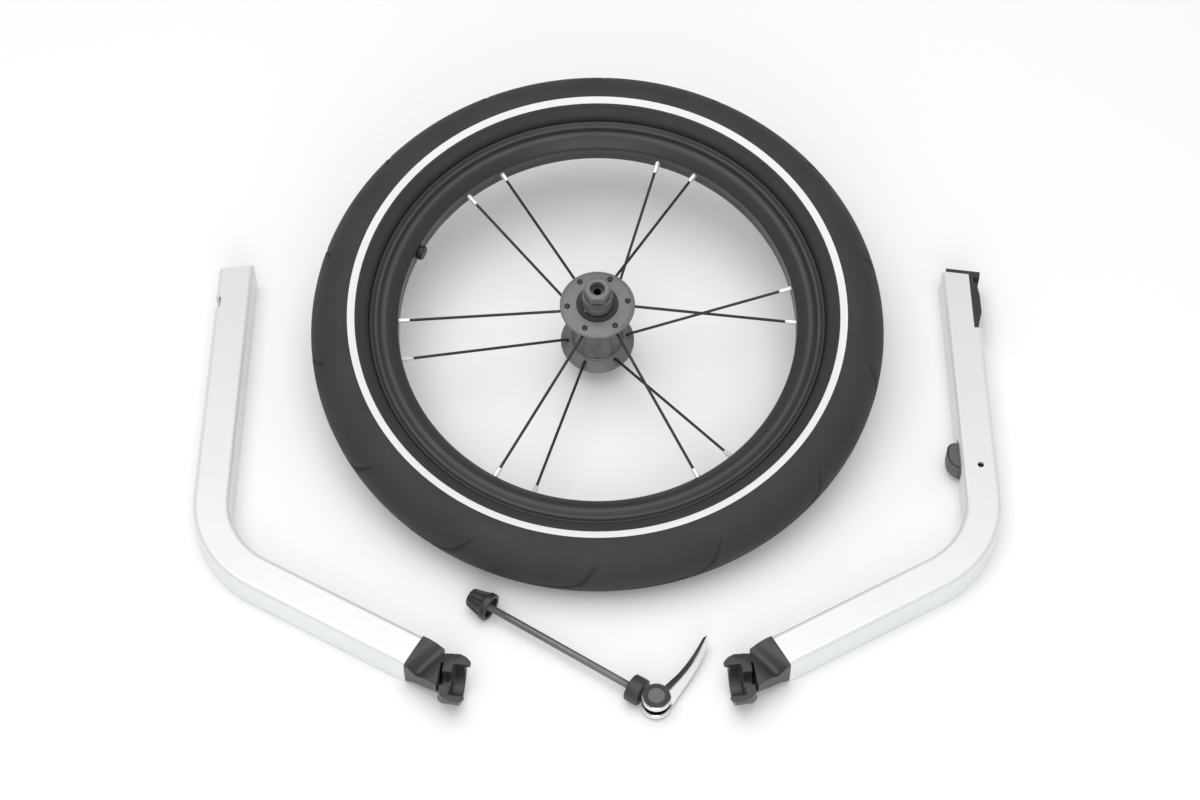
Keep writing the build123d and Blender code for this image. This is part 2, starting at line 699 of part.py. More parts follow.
# Link: runs up the tube and draws the catch in through a slanted slot.
LINK_TRAVEL = 1.7
CATCH_PIN_X = LINK_X + 1.0
with BuildPart() as release_link:
    with BuildSketch(floor_frame.offset(HALF - LINK_HALF)):
        with BuildLine():
            Polyline(
                (LINK_X - 2.0, PIN_Y),
                (LINK_X - 2.0, CATCH_Y - 5),
                (LINK_X - 2.6, CATCH_Y - 4),
                (LINK_X - 2.6, CATCH_Y + 4),
                (LINK_X + 4.0, CATCH_Y + 4),
                (LINK_X + 4.0, CATCH_Y - 4),
                (LINK_X + 2.0, CATCH_Y - 5),
                (LINK_X + 2.0, PIN_Y),
                close=True,
            )
        make_face()
        with Locations((LINK_X, PIN_Y)):
            Circle(3.0)
            SlotCenterToCenter(0.6, 2 * (PEG_RADIUS + FIT), mode=Mode.SUBTRACT)
        slanted = LINK_TRAVEL / 2
        with Locations(Location((CATCH_PIN_X - slanted, CATCH_Y - slanted), 45)):
            SlotCenterToCenter(
                2 * slanted * 2**0.5 + 0.4, 2 * (PEG_RADIUS + FIT), mode=Mode.SUBTRACT
            )
    extrude(amount=2 * LINK_HALF)
finish(release_link.part, "release_link")

EAR = 2.6                   # thickness of each ear of the fork that straddles the link
FORK_END = CATCH_PIN_X + 7
FORK_WEB = 1.6
with BuildPart() as catch:
    with BuildSketch(floor_frame.offset(3.2)):
        with BuildLine():
            Polyline(
                (SEAM + 3.2, CATCH_FROM),
                (SEAM + 6.0, CATCH_FROM),
                (SEAM + 7.0, CATCH_FROM + 2),
                (SEAM + 7.0, CATCH_TO - 12),
                (SEAM + 5.6, CATCH_TO),
                (SEAM + 3.2, CATCH_TO),
                close=True,
            )
        make_face()
    extrude(amount=TUBE_SIZE - 6.4)
    with BuildSketch(Plane(origin=floor(FORK_END, CATCH_Y, HALF), z_dir=(1, 0, 0))):
        Circle(STEM_RADIUS)
    extrude(amount=SEAM + 4 - FORK_END)
    with BuildSketch(floor_frame.offset(HALF - LINK_HALF - 0.3 - EAR)):
        with Locations((FORK_END, CATCH_Y)):
            Rectangle(9, 6, align=(Align.MAX, Align.CENTER))
    extrude(amount=2 * (LINK_HALF + 0.3 + EAR))
    with BuildSketch(floor_frame.offset(HALF - LINK_HALF - 0.3)):
        with Locations((FORK_END - FORK_WEB, CATCH_Y)):
            Rectangle(10, 6, align=(Align.MAX, Align.CENTER))
    extrude(amount=2 * (LINK_HALF + 0.3), mode=Mode.SUBTRACT)
    with BuildSketch(floor_frame):
        with Locations((CATCH_PIN_X, CATCH_Y)):
            Circle(PEG_RADIUS + FIT)
    extrude(amount=TUBE_SIZE, mode=Mode.SUBTRACT)
finish(catch.part, "catch")

with BuildPart() as catch_pin:
    with BuildSketch(floor_frame.offset(HALF - LINK_HALF - 0.2 - EAR)):
        with Locations((CATCH_PIN_X, CATCH_Y)):
            Circle(PEG_RADIUS)
    extrude(amount=2 * (LINK_HALF + 0.2 + EAR))
finish(catch_pin.part, "catch_pin")

# ---- Quick-release skewer -----------------------------------------------------
# It lies on the floor with its lever closed. Its own frame has X along the rod,
# from the nut towards the lever.

skewer_turn = radians(SKEWER_TURN)
skewer_frame = Plane(
    origin=floor(*NUT_FACE_AT, SKEWER_Z), x_dir=(cos(skewer_turn), sin(skewer_turn), 0)
)
rod_line = Axis(skewer_frame.origin, skewer_frame.x_dir)
pivot = skewer_frame.from_local_coords((ROD_LENGTH, 0, 0))


def across_rod(along):
    """Plane across the rod at a distance from the nut's big face."""
    origin = skewer_frame.from_local_coords((along, 0, 0))
    return Plane(origin=origin, x_dir=(0, 0, 1), z_dir=skewer_frame.x_dir)


def turned(points):
    """Round piece about the rod from corners (along, radius)."""
    with BuildPart() as body:
        with BuildSketch(skewer_frame):
            with BuildLine():
                Polyline(*points, close=True)
            make_face()
        revolve(axis=rod_line)
    return body.part


with BuildPart() as skewer_rod:
    with BuildSketch(across_rod(-NUT_LENGTH + 3)):
        Circle(ROD_RADIUS)
    extrude(amount=NUT_LENGTH - 3 + ROD_LENGTH + 4)
finish(skewer_rod.part, "skewer_rod")

CAP_AT = ROD_LENGTH - HEAD_RADIUS - 0.6 - CAP_LENGTH
cap_end = CAP_AT + CAP_LENGTH
finish(
    turned(
        [
            (CAP_AT, ROD_RADIUS + FIT),
            (CAP_AT, CAP_RADIUS - 0.8),
            (CAP_AT + 0.8, CAP_RADIUS),
            (cap_end - 0.8, CAP_RADIUS),
            (cap_end, CAP_RADIUS - 0.8),
            (cap_end, ROD_RADIUS + FIT),
        ]
    ),
    "skewer_cap",
)

FLUTES = 6
INSERT_RADIUS = 4.6
with BuildPart() as skewer_nut:
    add(
        turned(
            [
                (-NUT_LENGTH + 1, 0),
                (-NUT_LENGTH, NUT_SMALL - 1.2),
                (-NUT_LENGTH + 1.2, NUT_SMALL),
                (-3.5, NUT_BIG),
                (-0.6, NUT_BIG),
                (0, NUT_BIG - 0.6),
                (0, NUT_BIG - 2.2),
                (-3.0, NUT_BIG - 2.8),
                (-3.0, 0),
            ]
        )
    )
    insert_room = [(-13.5, 0), (-13.5, INSERT_RADIUS + FIT), (1, INSERT_RADIUS + FIT), (1, 0)]
    add(turned(insert_room), mode=Mode.SUBTRACT)
    with BuildSketch(across_rod(-NUT_LENGTH - 1)):
        with PolarLocations(NUT_BIG + 0.6, FLUTES, 30):
            Circle(2.4)
    extrude(amount=NUT_LENGTH - 3, mode=Mode.SUBTRACT)
    with BuildSketch(across_rod(-15)):
        Circle(ROD_RADIUS + 0.3)
    extrude(amount=5, mode=Mode.SUBTRACT)
finish(skewer_nut.part, "skewer_nut")

finish(
    turned(
        [
            (-13.4, ROD_RADIUS + FIT),
            (-13.4, INSERT_RADIUS),
            (-3.0, INSERT_RADIUS),
            (-3.0, ROD_RADIUS + FIT),
        ]
    ),
    "nut_insert",
)

HEAD_FROM, HEAD_TO = 2.0, 17.0
with BuildPart() as lever_pivot:
    with BuildSketch(Plane(origin=(pivot.X, pivot.Y, HEAD_FROM - 0.1))):
        Circle(PIVOT_RADIUS)
    extrude(amount=HEAD_TO - HEAD_FROM + 0.3)
    with BuildSketch(across_rod(ROD_LENGTH - 10)):
        Circle(ROD_RADIUS + FIT)
    extrude(amount=20, mode=Mode.SUBTRACT)
finish(lever_pivot.part, "lever_pivot")

# Lever: a forked head round the pivot and a bowed blade that hugs the wheel when closed.
CHEEK = 4.7
slot_turn = Plane(
    origin=(pivot.X, pivot.Y, HEAD_FROM + CHEEK),
    x_dir=(cos(skewer_turn - radians(90)), sin(skewer_turn - radians(90)), 0),
)
with BuildPart() as skewer_lever:
    with BuildSketch(Plane(origin=(pivot.X, pivot.Y, HEAD_FROM))):
        Circle(HEAD_RADIUS)
    extrude(amount=HEAD_TO - HEAD_FROM)
    with BuildSketch(Plane(origin=(pivot.X, pivot.Y, HEAD_FROM + 2))):
        with BuildLine():
            ThreePointArc((8.4, -4.2), (24.8, 21.0), (36.0, 47.4))
            ThreePointArc((36.0, 47.4), (35.0, 48.9), (33.2, 48.4))
            ThreePointArc((33.2, 48.4), (19.6, 25.2), (5.6, 7.6))
            Polyline((5.6, 7.6), (0, 0), (8.4, -4.2))
        make_face()
    extrude(amount=HEAD_TO - HEAD_FROM - 4)
    with BuildSketch(slot_turn):
        with Locations((-ROD_RADIUS - 0.25, 0)):
            Rectangle(20, 50, align=(Align.MIN, Align.CENTER))
    extrude(amount=HEAD_TO - HEAD_FROM - 2 * CHEEK, mode=Mode.SUBTRACT)
    with BuildSketch(Plane(origin=(pivot.X, pivot.Y, 0))):
        Circle(PIVOT_RADIUS + FIT)
    extrude(amount=TUBE_SIZE, mode=Mode.SUBTRACT)
finish(skewer_lever.part, "skewer_lever")
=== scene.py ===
"""Jogging wheel kit of a child trailer: how every piece looks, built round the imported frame.

Sizes are in millimetres until a mesh is made.
"""

import json
import logging
import math
from dataclasses import dataclass, field
from enum import Enum

import bmesh
import bpy
import numpy as np
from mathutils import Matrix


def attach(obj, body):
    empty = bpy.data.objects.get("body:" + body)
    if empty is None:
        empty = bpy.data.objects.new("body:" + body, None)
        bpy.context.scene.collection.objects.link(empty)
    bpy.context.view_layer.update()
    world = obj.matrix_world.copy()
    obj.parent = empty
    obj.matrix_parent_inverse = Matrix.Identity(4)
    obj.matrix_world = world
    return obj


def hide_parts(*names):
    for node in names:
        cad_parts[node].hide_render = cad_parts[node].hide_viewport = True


Array, Tree, Socket = np.ndarray, bpy.types.NodeTree, bpy.types.NodeSocket
Pair, Triple, Table = tuple[float, float], tuple[float, float, float], tuple[tuple[float, float], ...]

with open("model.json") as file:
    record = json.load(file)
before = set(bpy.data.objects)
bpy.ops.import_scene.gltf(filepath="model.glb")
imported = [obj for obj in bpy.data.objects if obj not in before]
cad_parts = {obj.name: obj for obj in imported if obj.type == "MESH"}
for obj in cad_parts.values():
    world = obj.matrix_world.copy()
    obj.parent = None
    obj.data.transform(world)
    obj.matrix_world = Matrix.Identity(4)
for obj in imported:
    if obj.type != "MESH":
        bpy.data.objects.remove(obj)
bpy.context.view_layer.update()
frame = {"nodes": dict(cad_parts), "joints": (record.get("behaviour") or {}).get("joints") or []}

log = logging.getLogger("jogging_kit")
MM = 0.001
UPPER, LOWER = 1, -1
SIDE_NAMES = {UPPER: "upper", LOWER: "lower"}
KIT_X, KIT_Z = np.array([1.0, 0.0, 0.0]), np.array([0.0, 0.0, 1.0])


# ---- Places ------------------------------------------------------------------------------


@dataclass(frozen=True)
class Place:
    origin: Array
    x_dir: Array
    y_dir: Array
    z_dir: Array

    @property
    def turn(self) -> Array:
        """The three directions as the rows of a matrix."""
        return np.stack([self.x_dir, self.y_dir, self.z_dir])

    def to_kit(self, points: Array) -> Array:
        return self.origin + points @ self.turn

    def from_kit(self, points: Array) -> Array:
        return (points - self.origin) @ self.turn.T


def axes(origin: Array, x_dir: Array, z_dir: Array) -> Place:
    """The place with these x and z directions; its y is square to both."""
    return Place(origin, x_dir, np.cross(z_dir, x_dir), z_dir)


def upright(origin: Triple, turn: float) -> Place:
    a = math.radians(turn)
    return axes(np.array(origin, float), np.array([math.cos(a), math.sin(a), 0.0]), KIT_Z)


def joint(name: str) -> tuple[Array, Array]:
    """Where the frame's joint of that name stands, in millimetres, and its axis."""
    found = next(j for j in frame["joints"] if j["name"] == name)
    return np.array(found["pos_m"]) / MM, np.array(found["axis"], float)


AXLE_MIDDLE, AXLE_LINE = joint("wheel_spin")
NUT_FACE, ROD_LINE = joint("nut_spin")
WHEEL = axes(AXLE_MIDDLE, KIT_X, AXLE_LINE)     # x to the right, z up along the axle
SKEWER = axes(NUT_FACE, ROD_LINE, KIT_Z)        # x along the rod from the nut's big face, z up


# ---- Shells and pieces -------------------------------------------------------------------


@dataclass
class Shell:
    """A closed surface: points in millimetres, with four-sided and three-sided faces."""

    points: Array
    quads: Array
    tris: Array

    def volume(self) -> float:
        """Signed volume: the sum of the tetrahedra from the first point to every face."""
        p = self.points - self.points[0]
        t = np.vstack([self.quads[:, [0, 1, 2]], self.quads[:, [0, 2, 3]], self.tris])
        return float(np.einsum("ij,ij->", p[t[:, 0]], np.cross(p[t[:, 1]], p[t[:, 2]]))) / 6

    def outward(self) -> "Shell":
        """The same shell with its faces pointing out."""
        if self.volume() < 0:
            return Shell(self.points, self.quads[:, ::-1], self.tris[:, ::-1])
        return self

    def at(self, place: Place) -> "Shell":
        return Shell(place.to_kit(self.points), self.quads, self.tris)


def grid(points: Array, round_rows: bool = False, capped: bool = False) -> Shell:
    """A shell over a grid of points whose columns close on themselves.

    A face joins rows i and i+1 and columns j and j+1, and the last column joins the first.

    Args:
        points: rows by columns by 3.
        round_rows: the last row joins the first, as on a ring.
        capped: a fan of triangles closes the first row and the last.

    Returns:
        The shell, with its faces pointing out.
    """
    rows, cols = points.shape[:2]
    i, j = np.meshgrid(np.arange(rows if round_rows else rows - 1), np.arange(cols), indexing="ij")
    below, after = (i + 1) % rows, (j + 1) % cols
    corners = [i * cols + j, below * cols + j, below * cols + after, i * cols + after]
    quads = np.stack(corners, -1).reshape(-1, 4)
    flat = points.reshape(-1, 3)
    tris = np.zeros((0, 3), int)
    if capped:
        ring = np.arange(cols)
        following = (ring + 1) % cols
        last = (rows - 1) * cols
        first_middle = np.full(cols, len(flat))
        tris = np.vstack(
            [
                np.stack([first_middle, ring, following], -1),
                np.stack([first_middle + 1, last + following, last + ring], -1),
            ]
        )
        flat = np.vstack([flat, points[0].mean(0), points[-1].mean(0)])
    return Shell(flat, quads, tris).outward()


def full_turn(count: int) -> Array:
    """Angles evenly round a circle from 0, in radians."""
    return np.linspace(0, 2 * np.pi, count, endpoint=False)


def unit(vectors: Array) -> Array:
    """A vector, or rows of them, brought to length 1."""
    return vectors / np.linalg.norm(vectors, axis=-1, keepdims=True)


def polar(radius: Array, angle: Array, height: Array) -> Array:
    """Points from their radius, angle and height about the local z axis."""
    parts = (radius * np.cos(angle), radius * np.sin(angle), height)
    return np.stack(np.broadcast_arrays(*parts), -1)


def shaped(
    radius: Array, height: Array, angle: Array, capped: bool = False
) -> Shell:
    """A shell about the local z axis whose radius may change with the angle.

    Args:
        radius: rows by columns, or rows by 1 where it stays the same all round.
        height: one height for each row.
        angle: one angle for each column, in radians.
        capped: the rows are open and their ends are closed flat.

    Returns:
        The shell, in local axes.
    """
    return grid(polar(radius, angle, height[:, None]), round_rows=not capped, capped=capped)


def turned(profile: Array, columns: int, capped: bool = False) -> Shell:
    """A round shell: row i of the profile is the circle of radius r_i at height h_i."""
    return shaped(profile[:, :1], profile[:, 1], full_turn(columns), capped)


def smooth_line(points: Array, per_span: int) -> Array:
    """A Catmull-Rom curve through points, whose tangent at each is half the next less the last.

    Args:
        points: the points to pass through, rows of 2 or 3.
        per_span: samples from each point to the next.

    Returns:
        The samples, ending on the last point.
    """
    p = np.vstack([2 * points[0] - points[1], points, 2 * points[-1] - points[-2]])
    t = np.linspace(0, 1, per_span, endpoint=False)[None, :, None]
    a, b, c, d = (p[k : len(p) - 3 + k, None, :] for k in range(4))
    curve = 0.5 * (
        2 * b + (c - a) * t + (2 * a - 5 * b + 4 * c - d) * t**2 + (3 * b - a - 3 * c + d) * t**3
    )
    return np.vstack([curve.reshape(-1, points.shape[1]), points[-1:]])


def pipe(path: Array, across: Array, radius: Array, sides: int) -> Shell:
    """A round bar along a path that lies in one plane.

    Each ring stands square to the path, in the directions across the plane and in it.

    Args:
        path: points of the middle line.
        across: unit vector square to the path's plane.
        radius: one radius for each point.
        sides: points round the bar.

    Returns:
        The shell, closed at both ends.
    """
    tangent = unit(np.gradient(path, axis=0))
    inward = np.cross(across, tangent)
    angle = full_turn(sides)[None, :, None]
    ring = np.cos(angle) * inward[:, None, :] + np.sin(angle) * across
    return grid(path[:, None, :] + radius[:, None, None] * ring, capped=True)


def add_object(name: str, data: bpy.types.ID) -> bpy.types.Object:
    """Put an object with this mesh, lamp or camera in the scene."""
    added = bpy.data.objects.new(name, data)
    bpy.context.scene.collection.objects.link(added)
    return added


def object_from(name: str, shells: list[Shell], crease: float) -> bpy.types.Object:
    """Args:
        name: the object's name.
        shells: the surfaces, in millimetres.
        crease: edges that turn by more degrees than this stay sharp.

    Returns:
        The object, at the origin, with its place in its mesh.
    """
    starts = np.cumsum([0] + [len(s.points) for s in shells])
    faces: list[list[int]] = []
    for shell, start in zip(shells, starts):
        faces += (shell.quads + start).tolist() + (shell.tris + start).tolist()
    mesh = bpy.data.meshes.new(name)
    mesh.from_pydata((np.vstack([s.points for s in shells]) * MM).tolist(), [], faces)
    mesh.polygons.foreach_set("use_smooth", np.ones(len(mesh.polygons), bool))
    mesh.set_sharp_from_angle(angle=math.radians(crease))
    return add_object(name, mesh)


def fit_out(piece: bpy.types.Object, body: str, finish: "Finish", *stands_for: str) -> None:
    """Dress a piece and set it on its body.

    Args:
        piece: the finished object.
        body: the CAD body that it moves with.
        finish: what it is made of.
        stands_for: the CAD nodes that it is shown in place of.
    """
    if not piece.data.materials:
        piece.data.materials.append(finish.material())
    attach(piece, body)
    if stands_for:
        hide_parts(*stands_for)
    log.info("%s rides on %s, %d faces", piece.name, body, len(piece.data.polygons))


def make_piece(
    name: str, shells: list[Shell], crease: float, body: str, finish: "Finish", *stands_for: str
) -> None:
    """Make an object from shells and fit it out."""
    fit_out(object_from(name, shells, crease), body, finish, *stands_for)


def dress(finish: "Finish", *nodes: str) -> None:
    """Give CAD nodes that stay in view their finish."""
    for node in nodes:
        for slot in frame["nodes"][node].material_slots:
            slot.material = finish.material()
        log.info("%s keeps its CAD shape", node)


# ---- Finishes ----------------------------------------------------------------------------


def linear(hex_colour: str) -> tuple[float, float, float, float]:
    """An sRGB colour such as "3a3b3b" as linear values with alpha.

    A channel c becomes c / 12.92 up to 0.04045, and ((c + 0.055) / 1.055) ** 2.4 above.
    """
    channels = [int(hex_colour[k : k + 2], 16) / 255 for k in (0, 2, 4)]
    red, green, blue = (c / 12.92 if c <= 0.04045 else ((c + 0.055) / 1.055) ** 2.4 for c in channels)
    return (red, green, blue, 1.0)


def add_node(tree: Tree, kind: str, **settings: object) -> bpy.types.Node:
    """Add a shader node with its settings and links.

    Args:
        tree: the material's node tree.
        kind: the node's type.
        settings: a name of the node's own property sets that property; a name such as in_Scale
            or in_0 sets or links that input, and a value that is an output socket is linked.

    Returns:
        The node.
    """
    node = tree.nodes.new(kind)
    for name, value in settings.items():
        if not name.startswith("in_"):
            setattr(node, name, value)
            continue
        key = name[3:].replace("_", " ")
        socket = node.inputs[int(key) if key.isdigit() else key]
        if isinstance(value, Socket):
            tree.links.new(value, socket)
        else:
            socket.default_value = value
    return node


def compute(tree: Tree, operation: str, *values: object) -> Socket:
    """The result of a math node over these numbers and sockets."""
    inputs = {f"in_{k}": value for k, value in enumerate(values)}
    return add_node(tree, "ShaderNodeMath", operation=operation, **inputs).outputs[0]


def about_z(
    tree: Tree, local: Socket
) -> tuple[Socket, Socket, Socket]:
    """A point without its height, its distance from the z axis, and its height."""
    parts = add_node(tree, "ShaderNodeSeparateXYZ", in_0=local)
    flat = add_node(
        tree, "ShaderNodeCombineXYZ", in_0=parts.outputs[0], in_1=parts.outputs[1]
    ).outputs[0]
    radius = add_node(tree, "ShaderNodeVectorMath", operation="LENGTH", in_0=flat)
    return flat, radius.outputs["Value"], parts.outputs[2]


def new_material(name: str) -> tuple[bpy.types.Material, bpy.types.Node]:
    """A new material and its shader."""
    material = bpy.data.materials.new(name)
    material.use_nodes = True
    return material, material.node_tree.nodes["Principled BSDF"]


class Grain(Enum):
    """How a surface's fine relief runs."""

    EVEN = "even"           # moulded, blasted or cast: the same every way
    DRAWN_Y = "drawn along y"
    TURNED = "turned about the axle"
    DRAWN_ROD = "drawn along the rod"


LONG_GRAIN = 0.04               # how far drawn grain is squeezed along its run


@dataclass(frozen=True)
class Finish:
    """What a piece is made of and how its surface was made."""

    name: str
    slot: str                   # the record's material slot
    colour: str                 # sRGB
    shade: str                  # sRGB of its darker or duller patches
    metallic: float = 0.0
    roughness: float = 0.5
    spread: float = 0.06        # how far the roughness strays
    ior: float = 1.5
    grain: Grain = Grain.EVEN
    grain_mm: float = 0.8       # distance between grains
    relief_mm: float = 0.02     # height of the grain
    patch_mm: float = 22.0      # size of the patches

    def axes(self, tree: Tree) -> Socket:
        """Object coordinates in the axes that the grain follows."""
        coordinates = add_node(tree, "ShaderNodeTexCoord").outputs["Object"]
        if self.grain is Grain.TURNED:
            place, turn = WHEEL, (math.atan2(WHEEL.y_dir[2], WHEEL.y_dir[1]), 0.0, 0.0)
        elif self.grain is Grain.DRAWN_ROD:
            place, turn = SKEWER, (0.0, 0.0, math.atan2(SKEWER.x_dir[1], SKEWER.x_dir[0]))
        else:
            return coordinates
        local = add_node(
            tree, "ShaderNodeMapping", vector_type="TEXTURE", in_Vector=coordinates,
            in_Location=tuple(place.origin * MM), in_Rotation=turn,
        )
        return local.outputs[0]

    def grain_axes(self, tree: Tree) -> Socket:
        """Coordinates squeezed so that a round speck becomes this finish's grain."""
        local = self.axes(tree)
        if self.grain is Grain.TURNED:
            _, radius, height = about_z(tree, local)
            return add_node(tree, "ShaderNodeCombineXYZ", in_0=radius, in_1=height).outputs[0]
        stretch = {
            Grain.EVEN: (1.0, 1.0, 1.0),
            Grain.DRAWN_Y: (1.0, LONG_GRAIN, 1.0),
            Grain.DRAWN_ROD: (LONG_GRAIN, 1.0, 1.0),
        }[self.grain]
        scaled = add_node(
            tree, "ShaderNodeVectorMath", operation="MULTIPLY", in_0=local, in_1=stretch
        )
        return scaled.outputs[0]

    def relief(self, tree: Tree) -> Socket:
        """Height of the fine relief, from 0 to 1."""
        noise = add_node(
            tree, "ShaderNodeTexNoise", in_Vector=self.grain_axes(tree),
            in_Scale=1 / (self.grain_mm * MM), in_Detail=3.0, in_Roughness=0.6,
        )
        return noise.outputs["Fac"]

    def material(self) -> bpy.types.Material:
        """The finish as a material, made once and shared."""
        known = bpy.data.materials.get(self.name)
        if known:
            return known
        material, shader = new_material(self.name)
        tree = material.node_tree
        patches = add_node(
            tree, "ShaderNodeTexNoise", in_Vector=self.axes(tree),
            in_Scale=1 / (self.patch_mm * MM), in_Detail=4.0, in_Roughness=0.65,
        )
        colour = add_node(
            tree, "ShaderNodeMix", data_type="RGBA", in_0=patches.outputs["Fac"],
            in_6=linear(self.colour), in_7=linear(self.shade),
        )
        roughness = add_node(
            tree, "ShaderNodeMapRange", in_Value=patches.outputs["Fac"],
            in_From_Min=0.3, in_From_Max=0.7,
            in_To_Min=self.roughness - self.spread, in_To_Max=self.roughness + self.spread,
        )
        bump = add_node(
            tree, "ShaderNodeBump", in_Strength=1.0, in_Distance=self.relief_mm * MM,
            in_Height=self.relief(tree),
        )
        tree.links.new(self.tint(tree, colour.outputs[2]), shader.inputs["Base Color"])
        tree.links.new(roughness.outputs[0], shader.inputs["Roughness"])
        tree.links.new(bump.outputs[0], shader.inputs["Normal"])
        shader.inputs["Metallic"].default_value = self.metallic
        shader.inputs["IOR"].default_value = self.ior
        return material

    def tint(self, tree: Tree, colour: Socket) -> Socket:
        """The base colour as it is; a finish with marks of its own changes it here."""
        return colour


@dataclass(frozen=True)
class TyreRubber(Finish):
    """Cured tyre rubber with a ring of fine radial ribs.

    So it crosses the tyre off centre, where it should follow the sidewall near the bead.
    """

    ribs: int = 720             # 1.4 mm apart; the real ones are about half that
    ribs_from: float = 159.0
    ribs_to: float = 167.2
    rib_height: float = 1.6     # against the grain's height of 1

    def relief(self, tree: Tree) -> Socket:
        """Grain plus radial ribs: a sine of the angle, kept between two radii from the origin."""
        grain = super().relief(tree)
        flat, radius, _ = about_z(tree, self.axes(tree))
        turn = add_node(tree, "ShaderNodeTexGradient", gradient_type="RADIAL", in_Vector=flat)
        phase = compute(tree, "MULTIPLY", turn.outputs["Fac"], 2 * math.pi * self.ribs)
        inside = compute(tree, "GREATER_THAN", radius, self.ribs_from * MM)
        outside = compute(tree, "LESS_THAN", radius, self.ribs_to * MM)
        band = compute(tree, "MULTIPLY", inside, outside)
        ribs = compute(tree, "MULTIPLY", compute(tree, "SINE", phase), band)
        return compute(tree, "MULTIPLY_ADD", ribs, self.rib_height, grain)


# Tyre compound: matt, a little dusty grey, with the fine sparkle of the mould's skin.
TYRE = TyreRubber(
    "cured_tyre_rubber", "tyre_rubber", "2f3131", "292b2b", roughness=0.7, spread=0.05,
    grain_mm=0.7, relief_mm=0.03, patch_mm=35.0,
)
# Reflective film: white, faintly beaded, semi-gloss.
FILM = Finish(
    "bonded_reflective_film", "reflective", "eceded", "e2e4e3", roughness=0.45, grain_mm=0.5,
    relief_mm=0.01, patch_mm=40.0,
)
# Butyl tube and bead tape: hidden, matt and soft.
BUTYL = Finish("dusted_butyl", "tube_rubber", "262626", "3a3a39", roughness=0.8, grain_mm=1.0)
TAPE = Finish("woven_rim_tape", "tape", "2b2c30", "232427", roughness=0.75, grain_mm=0.6)
# Black anodised rim: a satin skin over rolled metal, so reflections run round it in soft bands.
RIM = Finish(
    "black_anodised_rim", "rim_black", "3b3d3e", "333536", metallic=0.4, roughness=0.38,
    spread=0.04, grain=Grain.TURNED, grain_mm=0.5, relief_mm=0.004, patch_mm=30.0,
)
# Black-oxide spoke steel: dark, slightly oily sheen, drawn wire.
SPOKE = Finish(
    "black_oxide_spoke", "spoke_black", "3a3b3b", "303131", metallic=0.6, roughness=0.4,
    grain_mm=0.5, relief_mm=0.004,
)
# Nickel-plated brass nipple: pale and bright.
NIPPLE = Finish(
    "nickel_plated_brass", "nipple_plate", "f2f2ee", "deded9", metallic=0.55, roughness=0.3,
    grain_mm=0.4, relief_mm=0.004, patch_mm=6.0,
)
# Hub: bead-blasted, grey anodised aluminium, evenly soft.
HUB = Finish(
    "blasted_grey_anodised_hub", "hub_grey", "777979", "6e7070", metallic=0.25, roughness=0.42,
    spread=0.04, grain_mm=0.35, relief_mm=0.012, patch_mm=12.0,
)
# Turned steel of the axle parts: fine rings from the lathe. Its colour is kept dark as painted shade,
# so the axle's end deep in the locknut's bore looks shaded.
AXLE_STEEL_PAINTED_SHADE = Finish(
    "turned_axle_steel_painted_shade", "steel", "4b4d4d", "414343", metallic=0.6, roughness=0.36,
    grain=Grain.TURNED, grain_mm=0.3, relief_mm=0.006, patch_mm=8.0,
)
BALL_STEEL = Finish(
    "polished_ball_steel", "ball_steel", "d8dadb", "c9cbcc", metallic=1.0, roughness=0.1, spread=0.03,
    relief_mm=0.001,
)
SEAL = Finish("moulded_seal_rubber", "seal", "2c2d2d", "252626", roughness=0.6, grain_mm=0.4)
VALVE = Finish("moulded_valve_cap", "valve_black", "1d1e1e", "171818", grain_mm=0.5)
# Arms: satin silver anodised square tube, nearly white under soft light, faint lines along it.
ARM = Finish(
    "satin_silver_anodised_tube", "arm_silver", "ebeded", "e4e6e6", metallic=0.35, roughness=0.36,
    spread=0.03, grain=Grain.DRAWN_Y, grain_mm=0.6, relief_mm=0.004, patch_mm=60.0,
)
# Fittings: black glass-filled nylon with a spark-eroded mould texture.
NYLON = Finish(
    "glass_filled_nylon", "fitting_black", "343636", "2d2f2f", roughness=0.36, spread=0.05,
    grain_mm=0.45, patch_mm=14.0,
)
BUTTON = Finish(
    "moulded_grey_button", "button_grey", "5b5d5e", "535556", grain_mm=0.5, patch_mm=9.0,
)
LINK = Finish("moulded_pull_bar", "link_nylon", "3c3d3d", "343535")
PLATED = Finish(
    "zinc_plated_wire", "link_steel", "b9bbbc", "a8aaac", metallic=1.0, roughness=0.3, grain_mm=0.5,
    relief_mm=0.003,
)
PIN_STEEL = Finish(
    "ground_pin_steel", "steel", "4a4c4d", "424444", metallic=0.8, roughness=0.4, grain_mm=0.4,
    relief_mm=0.004,
)
# Skewer rod: ground steel drawn through a die, with light and dark lines along it.
ROD = Finish(
    "drawn_rod_steel", "steel", "7c7e7f", "626465", metallic=0.6, roughness=0.4, spread=0.08,
    grain=Grain.DRAWN_ROD, grain_mm=0.7, relief_mm=0.012, patch_mm=9.0,
)
CAP = Finish(
    "satin_black_cap", "cap_black", "363838", "2f3131", roughness=0.45, grain_mm=0.5,
    relief_mm=0.012, patch_mm=10.0,
)
INSERT = Finish("machined_brass", "insert_brass", "b5954f", "a38344", metallic=1.0, roughness=0.35)
# Lever: forged aluminium, buffed bright on its broad faces. Its top and bottom faces are painted dark:
# a painted reflection of a dark room in the polished metal.
LEVER = Finish(
    "buffed_lever_aluminium", "lever_silver", "f3f4f4", "e8e9e9", metallic=0.9, roughness=0.16,
    spread=0.05, grain_mm=0.6, relief_mm=0.004, patch_mm=14.0,
)
